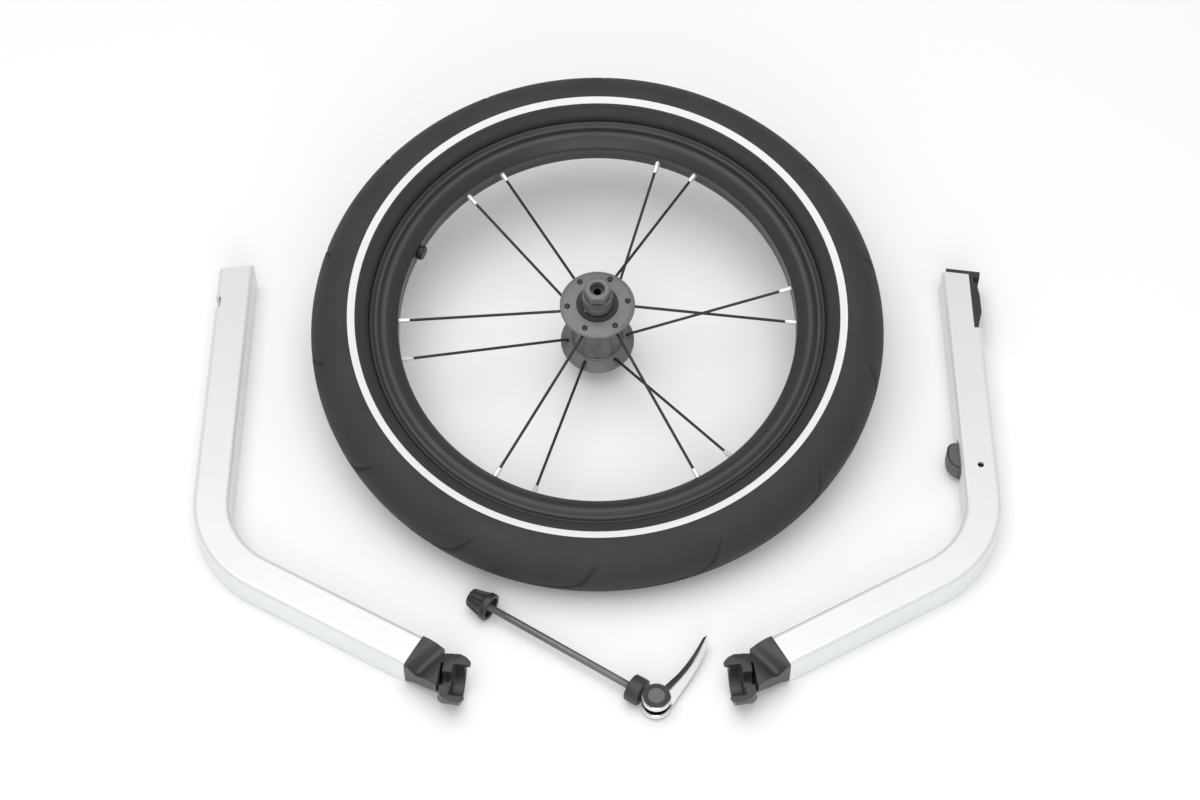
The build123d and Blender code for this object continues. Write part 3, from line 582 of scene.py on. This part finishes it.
# Painted dark reflection: the polished lever's top and bottom faces, coloured as if they mirrored a
# dark room.
LEVER_DARK_REFLECTION = Finish(
    "lever_painted_dark_reflection", "lever_silver", "1d1f1f", "191a1a", roughness=0.34,
    grain_mm=0.5, relief_mm=0.008, patch_mm=10.0,
)
PIVOT = Finish(
    "faced_pivot_steel", "pivot_grey", "6c6e6f", "646667", metallic=0.3, roughness=0.55,
    grain_mm=0.25, relief_mm=0.01, patch_mm=5.0,
)


# ---- Wheel -------------------------------------------------------------------------------


@dataclass
class Tyre:
    """The tyre: a ring section with sickle-shaped grooves, a reflective band and beads."""

    outer_radius: float = 200.0
    half_width: float = 23.5
    wall: float = 3.0
    wall_end: float = 135.0         # section angle where the sidewall turns in to the bead
    band: Pair = (98.56, 111.2)
    band_depth: float = 0.45
    pitches: int = 14
    columns_each: int = 52
    first_cut: float = -90.0        # wheel angle of one shoulder cut's inner end
    groove_width: float = 2.7
    groove_depth: float = 1.9
    taper_rate: float = 12.0        # one over the part of its length in which a groove tapers
    least_taper: float = 0.25
    least_width: float = 0.55       # of the full width, where the taper is nought
    trough_power: float = 0.7       # below 1, a flatter floor
    ridge: Pair = (116.0, 118.2)
    ridge_height: float = 0.35
    # Bead: radius and height, from the sidewall's end round to the inside.
    bead: Table = (
        (159.0, 14.0), (159.0, 11.2), (153.8, 10.9), (152.8, 10.2), (152.8, 6.5), (156.3, 6.5),
    )
    # The sickle: degrees clockwise from the cut's inner end, and section angle from the crown.
    sickle: Table = (
        (-0.4, 57.0), (1.2, 37.0), (2.6, 20.0), (4.0, 8.5), (6.0, 1.0), (8.6, -4.0), (13.5, -7.0),
        (19.5, -8.0),
    )
    # On the far side, a short cut half a pitch on.
    short_cut: Table = ((12.0, -56.0), (13.6, -42.0), (15.5, -30.0))

    @property
    def centre(self) -> float:
        """Radius of the section's middle."""
        return self.outer_radius - self.half_width

    def section_angles(self) -> Array:
        """Section angles from one bead to the other, closer together over the grooves."""
        edge = 0.12
        half = np.concatenate(
            [
                np.linspace(0, 64, 33),
                np.linspace(67, self.band[0] - edge, 9),
                np.linspace(self.band[0] + edge, self.band[1] - edge, 4),
                [self.band[1] + edge, 113.0, 115.6, 116.2, 118.0, 118.6, 124.0, 130.0, self.wall_end],
            ]
        )
        return np.concatenate([-half[:0:-1], half])

    def distance_to(
        self, line: Table, turn: Array, a: Array
    ) -> tuple[Array, Array]:
        """Distance over the surface from grid points to a groove's line, and the place along it.

        The surface is unrolled: x is the turn times the crown's radius, y the section arc.

        Args:
            line: points (degrees clockwise, section angle).
            turn: degrees clockwise, one for each column.
            a: section angles, one for each row.

        Returns:
            Two arrays, rows by columns: millimetres to the line, and 0 to 1 along it.
        """
        to_mm = np.radians([self.outer_radius - self.wall, self.half_width])
        curve = smooth_line(np.array(line), 10) * to_mm
        turn_grid, angle_grid = np.meshgrid(turn, a)
        here = np.stack([turn_grid, angle_grid], -1) * to_mm
        gap = np.linalg.norm(here[:, :, None, :] - curve[None, None], axis=-1)
        return gap.min(-1), gap.argmin(-1) / (len(curve) - 1)

    def groove(self, a: Array) -> Array:
        """Groove depth over one pitch: a raised-cosine trough that tapers to both ends."""
        step = 360 / self.pitches
        turn = np.arange(self.columns_each) * step / self.columns_each
        depth = np.zeros((len(a), self.columns_each))
        for line in (self.sickle, self.short_cut):
            for lap in (-step, 0.0, step):
                gap, along = self.distance_to(line, turn + lap, a)
                taper = np.clip(np.minimum(along, 1 - along) * self.taper_rate, self.least_taper, 1)
                width = self.groove_width * (self.least_width + (1 - self.least_width) * taper)
                trough = 0.5 + 0.5 * np.cos(np.pi * np.clip(2 * gap / width, 0, 1))
                depth = np.maximum(depth, self.groove_depth * taper * trough**self.trough_power)
        return depth

    def shell(self) -> Shell:
        """Outer arc with grooves, beads, and inner arc, as rows of one ring."""
        a = self.section_angles()
        # Columns run anticlockwise, and the sickle's turn is clockwise.
        depth = np.tile(self.groove(a)[:, ::-1], (1, self.pitches))
        columns = self.pitches * self.columns_each
        angle = np.radians(self.first_cut + 360 / columns * (1 + np.arange(columns)))
        size = np.abs(a)
        in_band = (size > self.band[0]) & (size < self.band[1])
        on_ridge = (size > self.ridge[0]) & (size < self.ridge[1])
        depth = depth + (self.band_depth * in_band - self.ridge_height * on_ridge)[:, None]
        rad = np.radians(a)[:, None]
        outer_r = self.centre + (self.half_width - depth) * np.cos(rad)
        outer_h = (self.half_width - depth) * np.sin(rad)
        bead = np.array(self.bead)
        inner_a = np.radians(np.linspace(self.wall_end, -self.wall_end, 13))
        inner = self.half_width - self.wall
        back = np.vstack(
            [
                bead,
                np.stack([self.centre + inner * np.cos(inner_a), inner * np.sin(inner_a)], -1),
                bead[::-1] * (1, -1),
            ]
        )
        radius = np.vstack([outer_r, np.repeat(back[:, :1], columns, axis=1)])
        height = np.vstack([outer_h, np.repeat(back[:, 1:], columns, axis=1)])
        return grid(polar(radius, angle, height), round_rows=True)

    def build(self) -> None:
        """Make the tyre, and dress the bands, the tube and the tape."""
        tyre = [self.shell().at(WHEEL)]
        make_piece("tyre_with_grooves", tyre, 40, "wheel", TYRE, "tyre")
        dress(FILM, *(f"reflective_band_{side}" for side in SIDE_NAMES.values()))
        dress(BUTYL, "inner_tube")
        dress(TAPE, "rim_tape")


@dataclass
class Rim:
    """The rim: a double-walled section with a rolled lip, a bulge and a flat spoke bed."""

    columns: int = 540
    # Half of the outline, from the middle of the spoke bed round to the tape seat.
    face: Table = (
        (139.2, 0.0), (139.0, 3.5), (139.0, 6.2), (139.9, 7.6), (141.6, 9.2), (144.2, 11.4),
        (146.8, 12.9), (149.2, 13.2), (151.4, 12.5), (153.2, 11.7), (154.9, 11.8), (156.4, 12.9),
        (157.4, 13.5), (158.4, 13.1),
    )
    back: Table = (
        (158.5, 12.4), (158.4, 11.7), (152.5, 11.3), (152.3, 6.2), (150.5, 5.0), (150.5, 0.0),
    )

    def build(self) -> None:
        """Make the rim as one closed ring; the nipples and the valve pass through its bed."""
        front = smooth_line(np.array(self.face), 4)
        half = np.vstack([front, self.back])
        profile = np.vstack([half, half[-2:0:-1] * (1, -1)])
        ring = [turned(profile, self.columns).at(WHEEL)]
        make_piece("rim_section", ring, 38, "wheel", RIM, "rim")
        dress(BUTYL, "valve_stem")
        dress(VALVE, "valve_cap")


@dataclass
class Spokes:
    """Twelve spokes with their nipples, six from each flange."""

    each_side: int = 6
    wire: float = 1.0
    circle: float = 21.0
    hole_angle: float = 5.5
    nipple_angle: dict[int, float] = field(default_factory=lambda: {UPPER: -0.3, LOWER: 11.7})
    elbow_height: float = 21.2
    head_height: float = 28.0
    bed_radius: float = 139.0
    offset: float = 1.5
    bend: float = 2.0
    # Nipple: distance back from the bed, and radius.
    nipple: Table = (
        (-8.2, 1.05), (-8.2, 1.5), (-7.7, 1.85), (-3.2, 1.95), (-2.6, 2.0), (2.6, 2.0), (2.6, 2.9),
        (3.6, 2.9), (4.2, 2.3), (4.2, 1.05),
    )
    drive_flats: float = 1.66       # half the width over the four flats
    flats_to: float = -3.0

    def ends(self, side: int, index: int) -> tuple[Array, Array]:
        """The elbow's corner and the middle of the nipple hole of one spoke."""
        step = 2 * math.pi / self.each_side * index
        hub = math.radians(self.hole_angle) + step
        bed = math.radians(self.nipple_angle[side]) + step
        elbow = polar(self.circle, hub, side * self.elbow_height)
        return elbow, polar(self.bed_radius, bed, side * self.offset)

    def spoke(self, side: int, index: int) -> Shell:
        """One spoke: a domed head, a short neck, a quadratic curve at the elbow, a straight run."""
        elbow, foot = self.ends(side, index)
        up = np.array([0.0, 0.0, float(side)])
        run = unit(foot - elbow)
        head = elbow + up * (self.head_height - self.elbow_height)
        heights = np.array([1.25, 1.15, 0.95, 0.55, 0.1, 0.0])
        radii = np.array([0.15, 1.0, 1.65, 1.95, 1.9, self.wire])
        t = np.linspace(0, 1, 9)[:, None]
        start, end = elbow + up * self.bend, elbow + run * self.bend
        curve = (1 - t) ** 2 * start + 2 * t * (1 - t) * elbow + t**2 * end
        straight = end + (foot - end) * np.linspace(0.02, 1, 6)[:, None]
        path = np.vstack([head + up * heights[:, None], curve, straight])
        radius = np.concatenate([radii, np.full(len(curve) + len(straight), self.wire)])
        return pipe(path, unit(np.cross(up, run)), radius, 14)

    def nipple_shell(self, side: int, index: int) -> Shell:
        """One nipple: round, with four flats towards its tip (radius = flat / cosine)."""
        elbow, foot = self.ends(side, index)
        z_dir = unit(foot - elbow)
        rows = np.array(self.nipple)
        angle = full_turn(32)
        from_flat = (angle + np.pi / 4) % (np.pi / 2) - np.pi / 4
        flats = self.drive_flats / np.cos(from_flat)
        squared = (rows[:, 0] < self.flats_to)[:, None]
        radius = np.where(squared, np.minimum(rows[:, 1:], flats), rows[:, 1:])
        return shaped(radius, rows[:, 0], angle).at(axes(foot, unit(np.cross(KIT_Z, z_dir)), z_dir))

    def build(self) -> None:
        """Make both sets of spokes and all the nipples."""
        turns = range(self.each_side)
        for side, name in SIDE_NAMES.items():
            spokes = [self.spoke(side, k).at(WHEEL) for k in turns]
            make_piece(f"spoke_set_{name}", spokes, 50, "wheel", SPOKE, f"spokes_{name}")
        nipples = [self.nipple_shell(side, k).at(WHEEL) for side in SIDE_NAMES for k in turns]
        make_piece("nipple_set", nipples, 30, "wheel", NIPPLE, "spoke_nipples")


@dataclass
class Hub:
    """The hub: a fluted barrel between two flanges, with cones and locknuts on the axle."""

    facets: int = 10
    columns: int = 240
    waist: float = 13.2
    barrel_end: float = 17.3
    barrel_half: float = 20.6
    scoop: float = 1.2              # how far each facet is hollowed at its middle
    flange: Table = (
        (17.7, 20.4), (18.3, 20.0), (18.9, 20.4), (18.9, 21.0), (18.6, 21.7), (25.2, 24.5),
        (25.8, 25.0), (26.0, 25.6), (26.0, 26.6), (25.7, 27.0), (23.3, 27.9), (22.9, 28.0),
        (14.7, 28.0), (14.25, 27.6), (14.25, 26.6), (12.85, 26.6), (12.85, 18.45), (8.0, 18.45),
    )
    nut_flats: float = 8.5
    nut_bottom: float = 42.5
    nut_top: float = 50.0
    bore: float = 4.95
    turned_columns: int = 192       # round a nut or a cone
    cone_flats_from: float = 35.0
    least_sine: float = 0.1         # keeps the flat's width finite where it faces sideways

    def barrel_rows(self) -> tuple[Array, Array, Array]:
        """Height, mean radius and fluting of the barrel's rows.

        The radius grows from the waist as the square of the height; the fluting is full over
        the middle and fades out at the ends.
        """
        height = np.linspace(-self.barrel_half, self.barrel_half, 41)
        part = np.abs(height) / self.barrel_half
        radius = self.waist + (self.barrel_end - self.waist) * part**2
        fluting = np.clip((1 - part) / 0.1, 0, 1)
        return height, radius, fluting

    def hub_shell(self) -> Shell:
        """Barrel and flanges: each facet is flat (radius over cosine) less a shallow scoop."""
        height, radius, fluting = self.barrel_rows()
        angle = full_turn(self.columns)
        half = np.pi / self.facets
        from_middle = (angle + half) % (2 * half) - half
        flat = np.cos(half * 0.5) / np.cos(from_middle)
        scoop = self.scoop * (1 - (from_middle / half) ** 2)
        barrel = radius[:, None] * (1 + fluting[:, None] * (flat - 1)) - fluting[:, None] * scoop
        rim = np.array(self.flange)
        upper = np.repeat(rim[:, :1], self.columns, axis=1)
        rows = np.vstack([barrel, upper, upper[::-1]])
        heights = np.concatenate([height, rim[:, 1], -rim[::-1, 1]])
        return shaped(rows, heights, angle)

    def locknut(self, side: int) -> Shell:
        """A hexagon (flat over cosine) cut back by a cone at its outer end."""
        angle = full_turn(self.turned_columns)
        sixth = np.pi / 6
        hexagon = self.nut_flats / np.cos(angle % (2 * sixth) - sixth)
        rows = np.array([
            (self.bore, self.nut_bottom), (12.0, self.nut_bottom), (12.0, 47.9), (9.75, 48.1),
            (9.3, 48.7), (8.75, 49.3), (8.1, 49.75), (7.4, self.nut_top), (5.9, self.nut_top),
            (5.3, 49.8), (self.bore, 49.3),
        ])
        radius = np.minimum(rows[:, :1], hexagon)
        return shaped(radius, side * rows[:, 1], angle)

    def cone(self, side: int) -> Shell:
        """The bearing cone: round, with two wrench flats on its outer part."""
        angle = full_turn(self.turned_columns)
        rows = np.array([
            (self.bore, 19.1), (6.55, 19.1), (6.55, 24.9), (8.2, 26.5), (10.2, 29.0), (10.5, 29.6),
            (10.5, 34.6), (10.5, 35.0), (10.5, 35.01), (10.5, 40.9), (10.1, 41.3),
            (self.bore, 41.3),
        ])
        flats = self.nut_flats / np.maximum(np.abs(np.sin(angle)), self.least_sine)
        flatted = (rows[:, 1] > self.cone_flats_from)[:, None]
        radius = np.where(flatted, np.minimum(rows[:, :1], flats), rows[:, :1])
        return shaped(radius, side * rows[:, 1], angle)

    def build(self) -> None:
        """Make the hub, the locknuts and the cones, and dress the bearings."""
        make_piece("fluted_hub", [self.hub_shell().at(WHEEL)], 28, "wheel", HUB, "hub_shell")
        for side, name in SIDE_NAMES.items():
            nut, cone = [self.locknut(side).at(WHEEL)], [self.cone(side).at(WHEEL)]
            make_piece(f"hex_locknut_{name}", nut, 25, "axle_group", HUB, f"locknut_{name}")
            make_piece(f"flatted_cone_{name}", cone, 25, "axle_group", HUB, f"cone_{name}")
            dress(AXLE_STEEL_PAINTED_SHADE, f"lock_washer_{name}", f"bearing_cup_{name}")
            dress(BALL_STEEL, f"bearing_balls_{name}")
            dress(SEAL, f"hub_seal_{name}")
        dress(AXLE_STEEL_PAINTED_SHADE, "axle")


# ---- Arms --------------------------------------------------------------------------------


@dataclass
class EndFitting:
    """A moulded end: square at the tube, dished across its top and bottom, with a C-shaped jaw."""

    name: str
    body: str
    hand: int                       # 1 on the left arm, -1 on the right
    toe: float = 8.3
    corner: Pair = (-86.8, -268.7)   # jaw's middle, from the wheel's centre
    voxel: float = 0.5
    height: float = 25.0
    # The dish runs across the fitting; points in the jaw's own axes.
    dish: Table = ((-14.0, 25.0), (-20.0, 17.5), (-25.5, 10.5), (-30.0, 4.0))
    dish_depth: Pair = (3.4, 5.4)    # at its far end and at its near end
    dish_width: float = 5.6
    fall_line: float = 15.2         # beyond this the jaw's top falls away to the far edge
    fall: float = 2.0
    fall_slope: float = 0.25        # the line's slope, from x = -5 mm
    fall_run: float = 7.0           # how far the top takes to fall

    def place(self) -> Place:
        """The jaw's axes on the left arm; the right fitting is worked out in its mirror image."""
        wheel_y = WHEEL.origin[1]
        return upright((self.corner[0], self.corner[1] + wheel_y, 0.0), -self.toe)

    def sink(self, local: Array) -> Array:
        """How far the top stands below the full height: a dish and a fall at the far edge.

        The dish is a bell curve of the distance to its line, deeper towards the near end.
        """
        line = smooth_line(np.array(self.dish), 12)
        gap = np.linalg.norm(local[:, None, :2] - line[None], axis=-1)
        along = gap.argmin(1) / (len(line) - 1)
        depth = self.dish_depth[0] + (self.dish_depth[1] - self.dish_depth[0]) * along
        dish = depth * np.exp(-((gap.min(1) / self.dish_width) ** 2))
        x, y = local[:, 0], local[:, 1]
        beyond = np.clip((y - self.fall_line - self.fall_slope * (x + 5)) / self.fall_run, 0, 1)
        over = np.clip((x + 22) / 6, 0, 1) * np.clip((-3.0 - x) / 4, 0, 1)
        return np.maximum(dish, self.fall * beyond * over)

    def build(self) -> None:
        """Remesh a copy of the CAD node finely, dish it about its middle height and smooth it."""
        mesh = frame["nodes"][self.name].data.copy()
        mesh.name = f"{self.name}_moulded"
        merged = bmesh.new()
        merged.from_mesh(mesh)
        bmesh.ops.remove_doubles(merged, verts=merged.verts, dist=1e-6)
        merged.to_mesh(mesh)
        merged.free()
        piece = add_object(mesh.name, mesh)
        remesh = piece.modifiers.new("fine", "REMESH")
        remesh.mode = "VOXEL"
        remesh.voxel_size = self.voxel * MM
        remesh.use_smooth_shade = True
        smooth = piece.modifiers.new("soften", "SMOOTH")
        smooth.factor = 0.5
        smooth.iterations = 2
        ready = piece.evaluated_get(bpy.context.evaluated_depsgraph_get())
        fine = bpy.data.meshes.new_from_object(ready)
        piece.modifiers.clear()
        piece.data = fine
        points = np.zeros(len(fine.vertices) * 3)
        fine.vertices.foreach_get("co", points)
        points = points.reshape(-1, 3) / MM
        mirrored = points * (self.hand, 1, 1)
        half = self.height / 2
        sunk = self.sink(self.place().from_kit(mirrored))
        points[:, 2] = half + (points[:, 2] - half) * (1 - sunk / half)
        fine.vertices.foreach_set("co", (points * MM).ravel())
        fine.materials.clear()
        fine.polygons.foreach_set("use_smooth", np.ones(len(fine.polygons), bool))
        fine.update()
        fit_out(piece, self.body, NYLON, self.name)


@dataclass
class ButtonGrip:
    """The ribbed skin over the release button's curved face."""

    # The arc over the button, from the wheel's centre: points in plan.
    arc: Table = (
        (246.0, -80.6), (244.2, -81.3), (242.6, -83.0), (241.4, -88.5), (241.9, -93.6),
        (243.9, -97.8), (248.4, -101.2),
    )
    low: float = 6.0
    high: float = 19.0
    wall: float = 1.0
    ribs: int = 9
    rib_depth: float = 0.6
    proud: float = 0.35             # how far the ribs stand out of the arc
    edge: float = 0.45              # how far the rims are drawn in, and over what height

    def build(self) -> None:
        """A crescent carried up in height; the outer line waves in and out between the ribs."""
        wheel_y = WHEEL.origin[1]
        line = smooth_line(np.array(self.arc) + (0, wheel_y), 20)
        tangent = unit(np.gradient(line, axis=0))
        outward = np.stack([tangent[:, 1], -tangent[:, 0]], -1)
        part = np.linspace(0, 1, len(line))
        valley = 0.5 - 0.5 * np.cos(2 * np.pi * self.ribs * part)
        ends = np.clip(np.minimum(part, 1 - part) * 20, 0, 1)
        outer = line + outward * (self.proud - self.rib_depth * (1 - valley**0.5) * ends)[:, None]
        inner = line - outward * self.wall
        ring = np.vstack([outer, inner[::-1]])
        heights = np.array([self.low, self.low + self.edge, self.high - self.edge, self.high])
        drawn_in = np.array([self.edge, 0.0, 0.0, self.edge])
        between = line - outward * self.wall / 2
        middle = np.vstack([between, between[::-1]])
        rows = ring + (middle - ring) * (drawn_in / self.wall)[:, None, None]
        level = np.broadcast_to(heights[:, None, None], (*rows.shape[:2], 1))
        points = np.concatenate([rows, level], -1)
        shell = self.closed(points, len(line))
        make_piece("button_grip", [shell], 40, "button", BUTTON)
        dress(BUTTON, "release_button")

    def closed(self, points: Array, half: int) -> Shell:
        """Close the crescent's top and bottom with strips from its outer line to its inner one."""
        shell = grid(points)
        count = points.shape[1]
        k = np.arange(half - 1)
        strip = np.stack([k, k + 1, count - 2 - k, count - 1 - k], -1)
        top = strip + (points.shape[0] - 1) * count
        flip = -1 if self.turns_left(points[0, :, :2]) else 1
        quads = np.vstack([shell.quads, strip[:, ::flip], top[:, ::-flip]])
        return Shell(shell.points, quads, shell.tris).outward()

    @staticmethod
    def turns_left(outline: Array) -> bool:
        """Whether an outline runs anticlockwise: its shoelace area is positive."""
        x, y = outline[:, 0], outline[:, 1]
        return bool((x * np.roll(y, -1) - y * np.roll(x, -1)).sum() > 0)


@dataclass
class Arms:
    """Both arms: silver tubes, moulded ends, and the latch inside the right one."""

    def build(self) -> None:
        """Dress the tubes and the latch, and make the moulded pieces."""
        dress(ARM, "arm_tube_left", "arm_tube_right")
        dress(NYLON, "latch_insert", "catch")
        dress(LINK, "release_link")
        dress(PLATED, "button_spring")
        dress(PIN_STEEL, "pivot_pin", "catch_pin")
        EndFitting("end_fitting_left", "left_arm", 1).build()
        EndFitting("end_fitting_right", "right_arm", -1).build()
        ButtonGrip().build()


# ---- Skewer ------------------------------------------------------------------------------


@dataclass
class Skewer:
    """The quick-release skewer: rod, fluted nut, cap and cam lever."""

    rod_length: float = 129.0       # from the nut's big face to the lever's pivot
    rod_radius: float = 2.5
    nut_length: float = 17.0
    flutes: int = 6
    flute_depth: float = 1.7
    thread_pitch: float = 0.8
    thread_length: float = 26.0
    thread_depth: float = 0.3
    cap_length: float = 10.0
    cap_radius: float = 9.3
    head_radius: float = 9.5
    head: Pair = (2.0, 17.0)
    cheek: float = 4.7
    pivot_hole: float = 5.35
    # Blade from the pivot: middle line in plan, half its thickness, low edge, high edge.
    blade: tuple[tuple[float, ...], ...] = (
        (7.0, 2.6, 5.2, 2.2, 16.8), (12.0, 9.0, 4.2, 2.6, 16.4), (17.0, 15.6, 3.5, 3.4, 15.4),
        (22.2, 23.2, 3.1, 4.0, 14.8), (27.4, 32.0, 2.7, 4.2, 14.6), (31.4, 40.4, 2.2, 4.4, 14.4),
        (34.2, 47.2, 1.6, 5.0, 13.8),
    )
    lean: float = 0.45              # how much narrower the top edge is than the bottom one
    squareness: float = 0.28        # a circle's is 1, a square's 0

    def along_rod(self, shell: Shell) -> Shell:
        """Set a shell made about z so that its z runs along the rod."""
        return shell.at(Place(SKEWER.origin, SKEWER.y_dir, SKEWER.z_dir, SKEWER.x_dir))

    def nut(self) -> Shell:
        """A cone that swells to a collar, its sides scooped by flutes that stop at the collar."""
        rows = np.array([
            (0.8, -17.0), (4.6, -17.0), (5.7, -16.6), (6.4, -15.6), (7.2, -12.0), (8.2, -7.6),
            (8.9, -4.9), (9.5, -4.2), (9.7, -3.6), (9.7, -0.7), (9.5, -0.2), (9.1, 0.0), (7.7, 0.0),
            (7.3, -0.3), (6.9, -3.0), (4.65, -3.0), (4.65, -13.5), (0.8, -13.5),
        ])
        angle = full_turn(168)
        wave = np.clip(np.cos(self.flutes * angle), 0, 1) ** 0.8
        outside = (np.arange(len(rows)) > 1) & (rows[:, 1] < -4.5) & (rows[:, 0] > 5)
        radius = rows[:, :1] - self.flute_depth * outside[:, None] * wave
        return shaped(radius, rows[:, 1], angle)

    def rod(self) -> Shell:
        """A plain bar with ridges of the thread's pitch near the nut."""
        start = -self.nut_length + 3.0
        threaded = np.arange(start + 0.6, start + self.thread_length, self.thread_pitch / 4)
        wave = np.cos(2 * np.pi * threaded / self.thread_pitch)
        ridges = self.rod_radius - self.thread_depth * (0.5 - 0.5 * wave)
        plain = np.array([start + self.thread_length + 0.4, self.rod_length + 3.4])
        height = np.concatenate([[start], threaded, plain, [self.rod_length + 4.0]])
        radius = np.concatenate([[1.9], ridges, [self.rod_radius] * 2, [2.0]])
        return turned(np.stack([radius, height], -1), 36, capped=True)

    def cap(self) -> Shell:
        """A short round cap with eased edges."""
        end = self.rod_length - self.head_radius - 0.6
        start = end - self.cap_length
        big = self.cap_radius
        rows = np.array([
            (2.6, start), (7.6, start), (8.6, start + 0.25), (9.15, start + 0.8), (big, start + 1.5),
            (big, end - 1.5), (9.15, end - 0.8), (8.6, end - 0.25), (7.8, end), (2.6, end),
        ])
        return turned(rows, 96)

    def cheeks(self) -> list[Shell]:
        """Two thick washers with eased edges, above and below the slot."""
        low, high = self.head
        big, hole, ease = self.head_radius, self.pivot_hole, 0.6
        shells = []
        for bottom in (low, high - self.cheek):
            top = bottom + self.cheek
            rows = np.array([
                (hole, bottom), (big - ease, bottom), (big, bottom + ease), (big, top - ease),
                (big - ease, top), (hole + 0.3, top), (hole, top - 0.3),
            ])
            shells.append(turned(rows, 96))
        return shells

    def blade_shell(self) -> Shell:
        """A rounded bar carried along the blade's line.

        A section is a squared-off circle, whose sine carries it from the low edge to the high
        one. Its width is full at the bottom and narrows upwards, while its inner side stays put.
        """
        rows = smooth_line(np.array(self.blade), 8)
        tangent = unit(np.gradient(rows[:, :2], axis=0))
        side = np.stack([tangent[:, 1], -tangent[:, 0]], -1)
        end = np.clip((len(rows) - 1 - np.arange(len(rows))) / 5, 0, 1)
        rounding = np.sqrt(1 - (1 - end) ** 2).clip(0.25)
        angle = full_turn(40)
        across, up = (np.sign(c) * np.abs(c) ** self.squareness for c in (np.cos(angle), np.sin(angle)))
        narrowed = 1 - self.lean * (1 + up) / 2
        wide = (rows[:, 2] * rounding)[:, None] * ((across + 1) * narrowed - 1)
        middle, half = (rows[:, 3] + rows[:, 4]) / 2, (rows[:, 4] - rows[:, 3]) / 2
        tall = middle[:, None] + (half * rounding.clip(0.6))[:, None] * up
        plan = rows[:, None, :2] + wide[..., None] * side[:, None, :]
        return grid(np.concatenate([plan, tall[..., None]], -1), capped=True)

    def build(self) -> None:
        """Make the skewer's pieces."""
        for name, shell, crease, body, finish, node in (
            ("fluted_nut", self.nut(), 35, "nut", NYLON, "skewer_nut"),
            ("threaded_rod", self.rod(), 45, "skewer", ROD, "skewer_rod"),
            ("round_cap", self.cap(), 25, "skewer", CAP, "skewer_cap"),
        ):
            make_piece(name, [self.along_rod(shell)], crease, body, finish, node)
        dress(INSERT, "nut_insert")
        dress(PIVOT, "lever_pivot")
        swing, _ = joint("lever_swing")
        pivot = upright((swing[0], swing[1], 0.0), 0.0)
        shells = [s.at(pivot) for s in self.cheeks()] + [self.blade_shell().at(pivot)]
        lever = object_from("cam_lever", shells, 32)
        lever.data.materials.append(LEVER.material())
        lever.data.materials.append(LEVER_DARK_REFLECTION.material())
        normals = np.zeros(len(lever.data.polygons) * 3)
        lever.data.polygons.foreach_get("normal", normals)
        # Faces that point up or down take the dark finish, a painted reflection of a dark room in the
        # polished metal.
        dark_reflection_faces = np.abs(normals.reshape(-1, 3)[:, 2]) > 0.85
        lever.data.polygons.foreach_set("material_index", dark_reflection_faces.astype(np.int32))
        fit_out(lever, "lever", LEVER, "skewer_lever")


# ---- Studio ------------------------------------------------------------------------------


@dataclass
class Studio:
    """A pale floor, soft light from above, and the camera."""

    lens: float = 72.0
    sensor: float = 36.0
    camera_from_wheel: Pair = (1.8, -1009.1)
    camera_height: float = 1394.4
    look_down: float = 54.94
    floor_size: float = 30000.0
    floor_colour: str = "fcfdfd"
    key_place: Triple = (-200.0, 0.0, 2300.0)
    key_size: float = 2400.0
    key_watts: float = 30.0
    fill_place: Triple = (0.0, -1650.0, 950.0)
    fill_size: float = 1200.0
    fill_watts: float = 8.0
    sky: float = 0.55

    def floor(self) -> None:
        """A large flat floor, not part of the object."""
        half = self.floor_size * MM / 2
        mesh = bpy.data.meshes.new("floor")
        corners = [(-half, -half, 0), (half, -half, 0), (half, half, 0), (-half, half, 0)]
        mesh.from_pydata(corners, [], [(0, 1, 2, 3)])
        floor = add_object("floor", mesh)
        material, shader = new_material("painted_studio_floor")
        shader.inputs["Base Color"].default_value = linear(self.floor_colour)
        shader.inputs["Roughness"].default_value = 0.85
        shader.inputs["Specular IOR Level"].default_value = 0.2
        mesh.materials.append(material)

    def light(self, name: str, place: Triple, size: float, watts: float) -> None:
        lamp = bpy.data.lights.new(name, "AREA")
        lamp.shape = "SQUARE"
        lamp.size = size * MM
        lamp.energy = watts
        holder = add_object(name, lamp)
        holder.location = tuple(v * MM for v in place)
        holder.rotation_euler = (-holder.location).to_track_quat("-Z", "Y").to_euler()

    def build(self) -> None:
        """Set the floor, the lights, the sky and the camera."""
        self.floor()
        self.light("overhead", self.key_place, self.key_size, self.key_watts)
        self.light("front", self.fill_place, self.fill_size, self.fill_watts)
        world = bpy.data.worlds.new("white_room")
        world.use_nodes = True
        background = world.node_tree.nodes["Background"]
        background.inputs["Color"].default_value = (1.0, 1.0, 1.0, 1.0)
        background.inputs["Strength"].default_value = self.sky
        bpy.context.scene.world = world
        camera = bpy.data.cameras.new("camera")
        camera.lens, camera.sensor_width = self.lens, self.sensor
        holder = add_object("camera", camera)
        across, back = self.camera_from_wheel
        wheel_y = WHEEL.origin[1]
        holder.location = (across * MM, (back + wheel_y) * MM, self.camera_height * MM)
        holder.rotation_euler = (math.radians(90 - self.look_down), 0, 0)
        bpy.context.scene.camera = holder
        bpy.context.scene.view_settings.view_transform = "Standard"


def main() -> None:
    logging.basicConfig(level=logging.INFO, format="%(name)s: %(message)s")
    for section in (Tyre(), Rim(), Spokes(), Hub(), Arms(), Skewer(), Studio()):
        log.info("building %s", type(section).__name__)
        section.build()


if __name__ == "__main__":
    main()
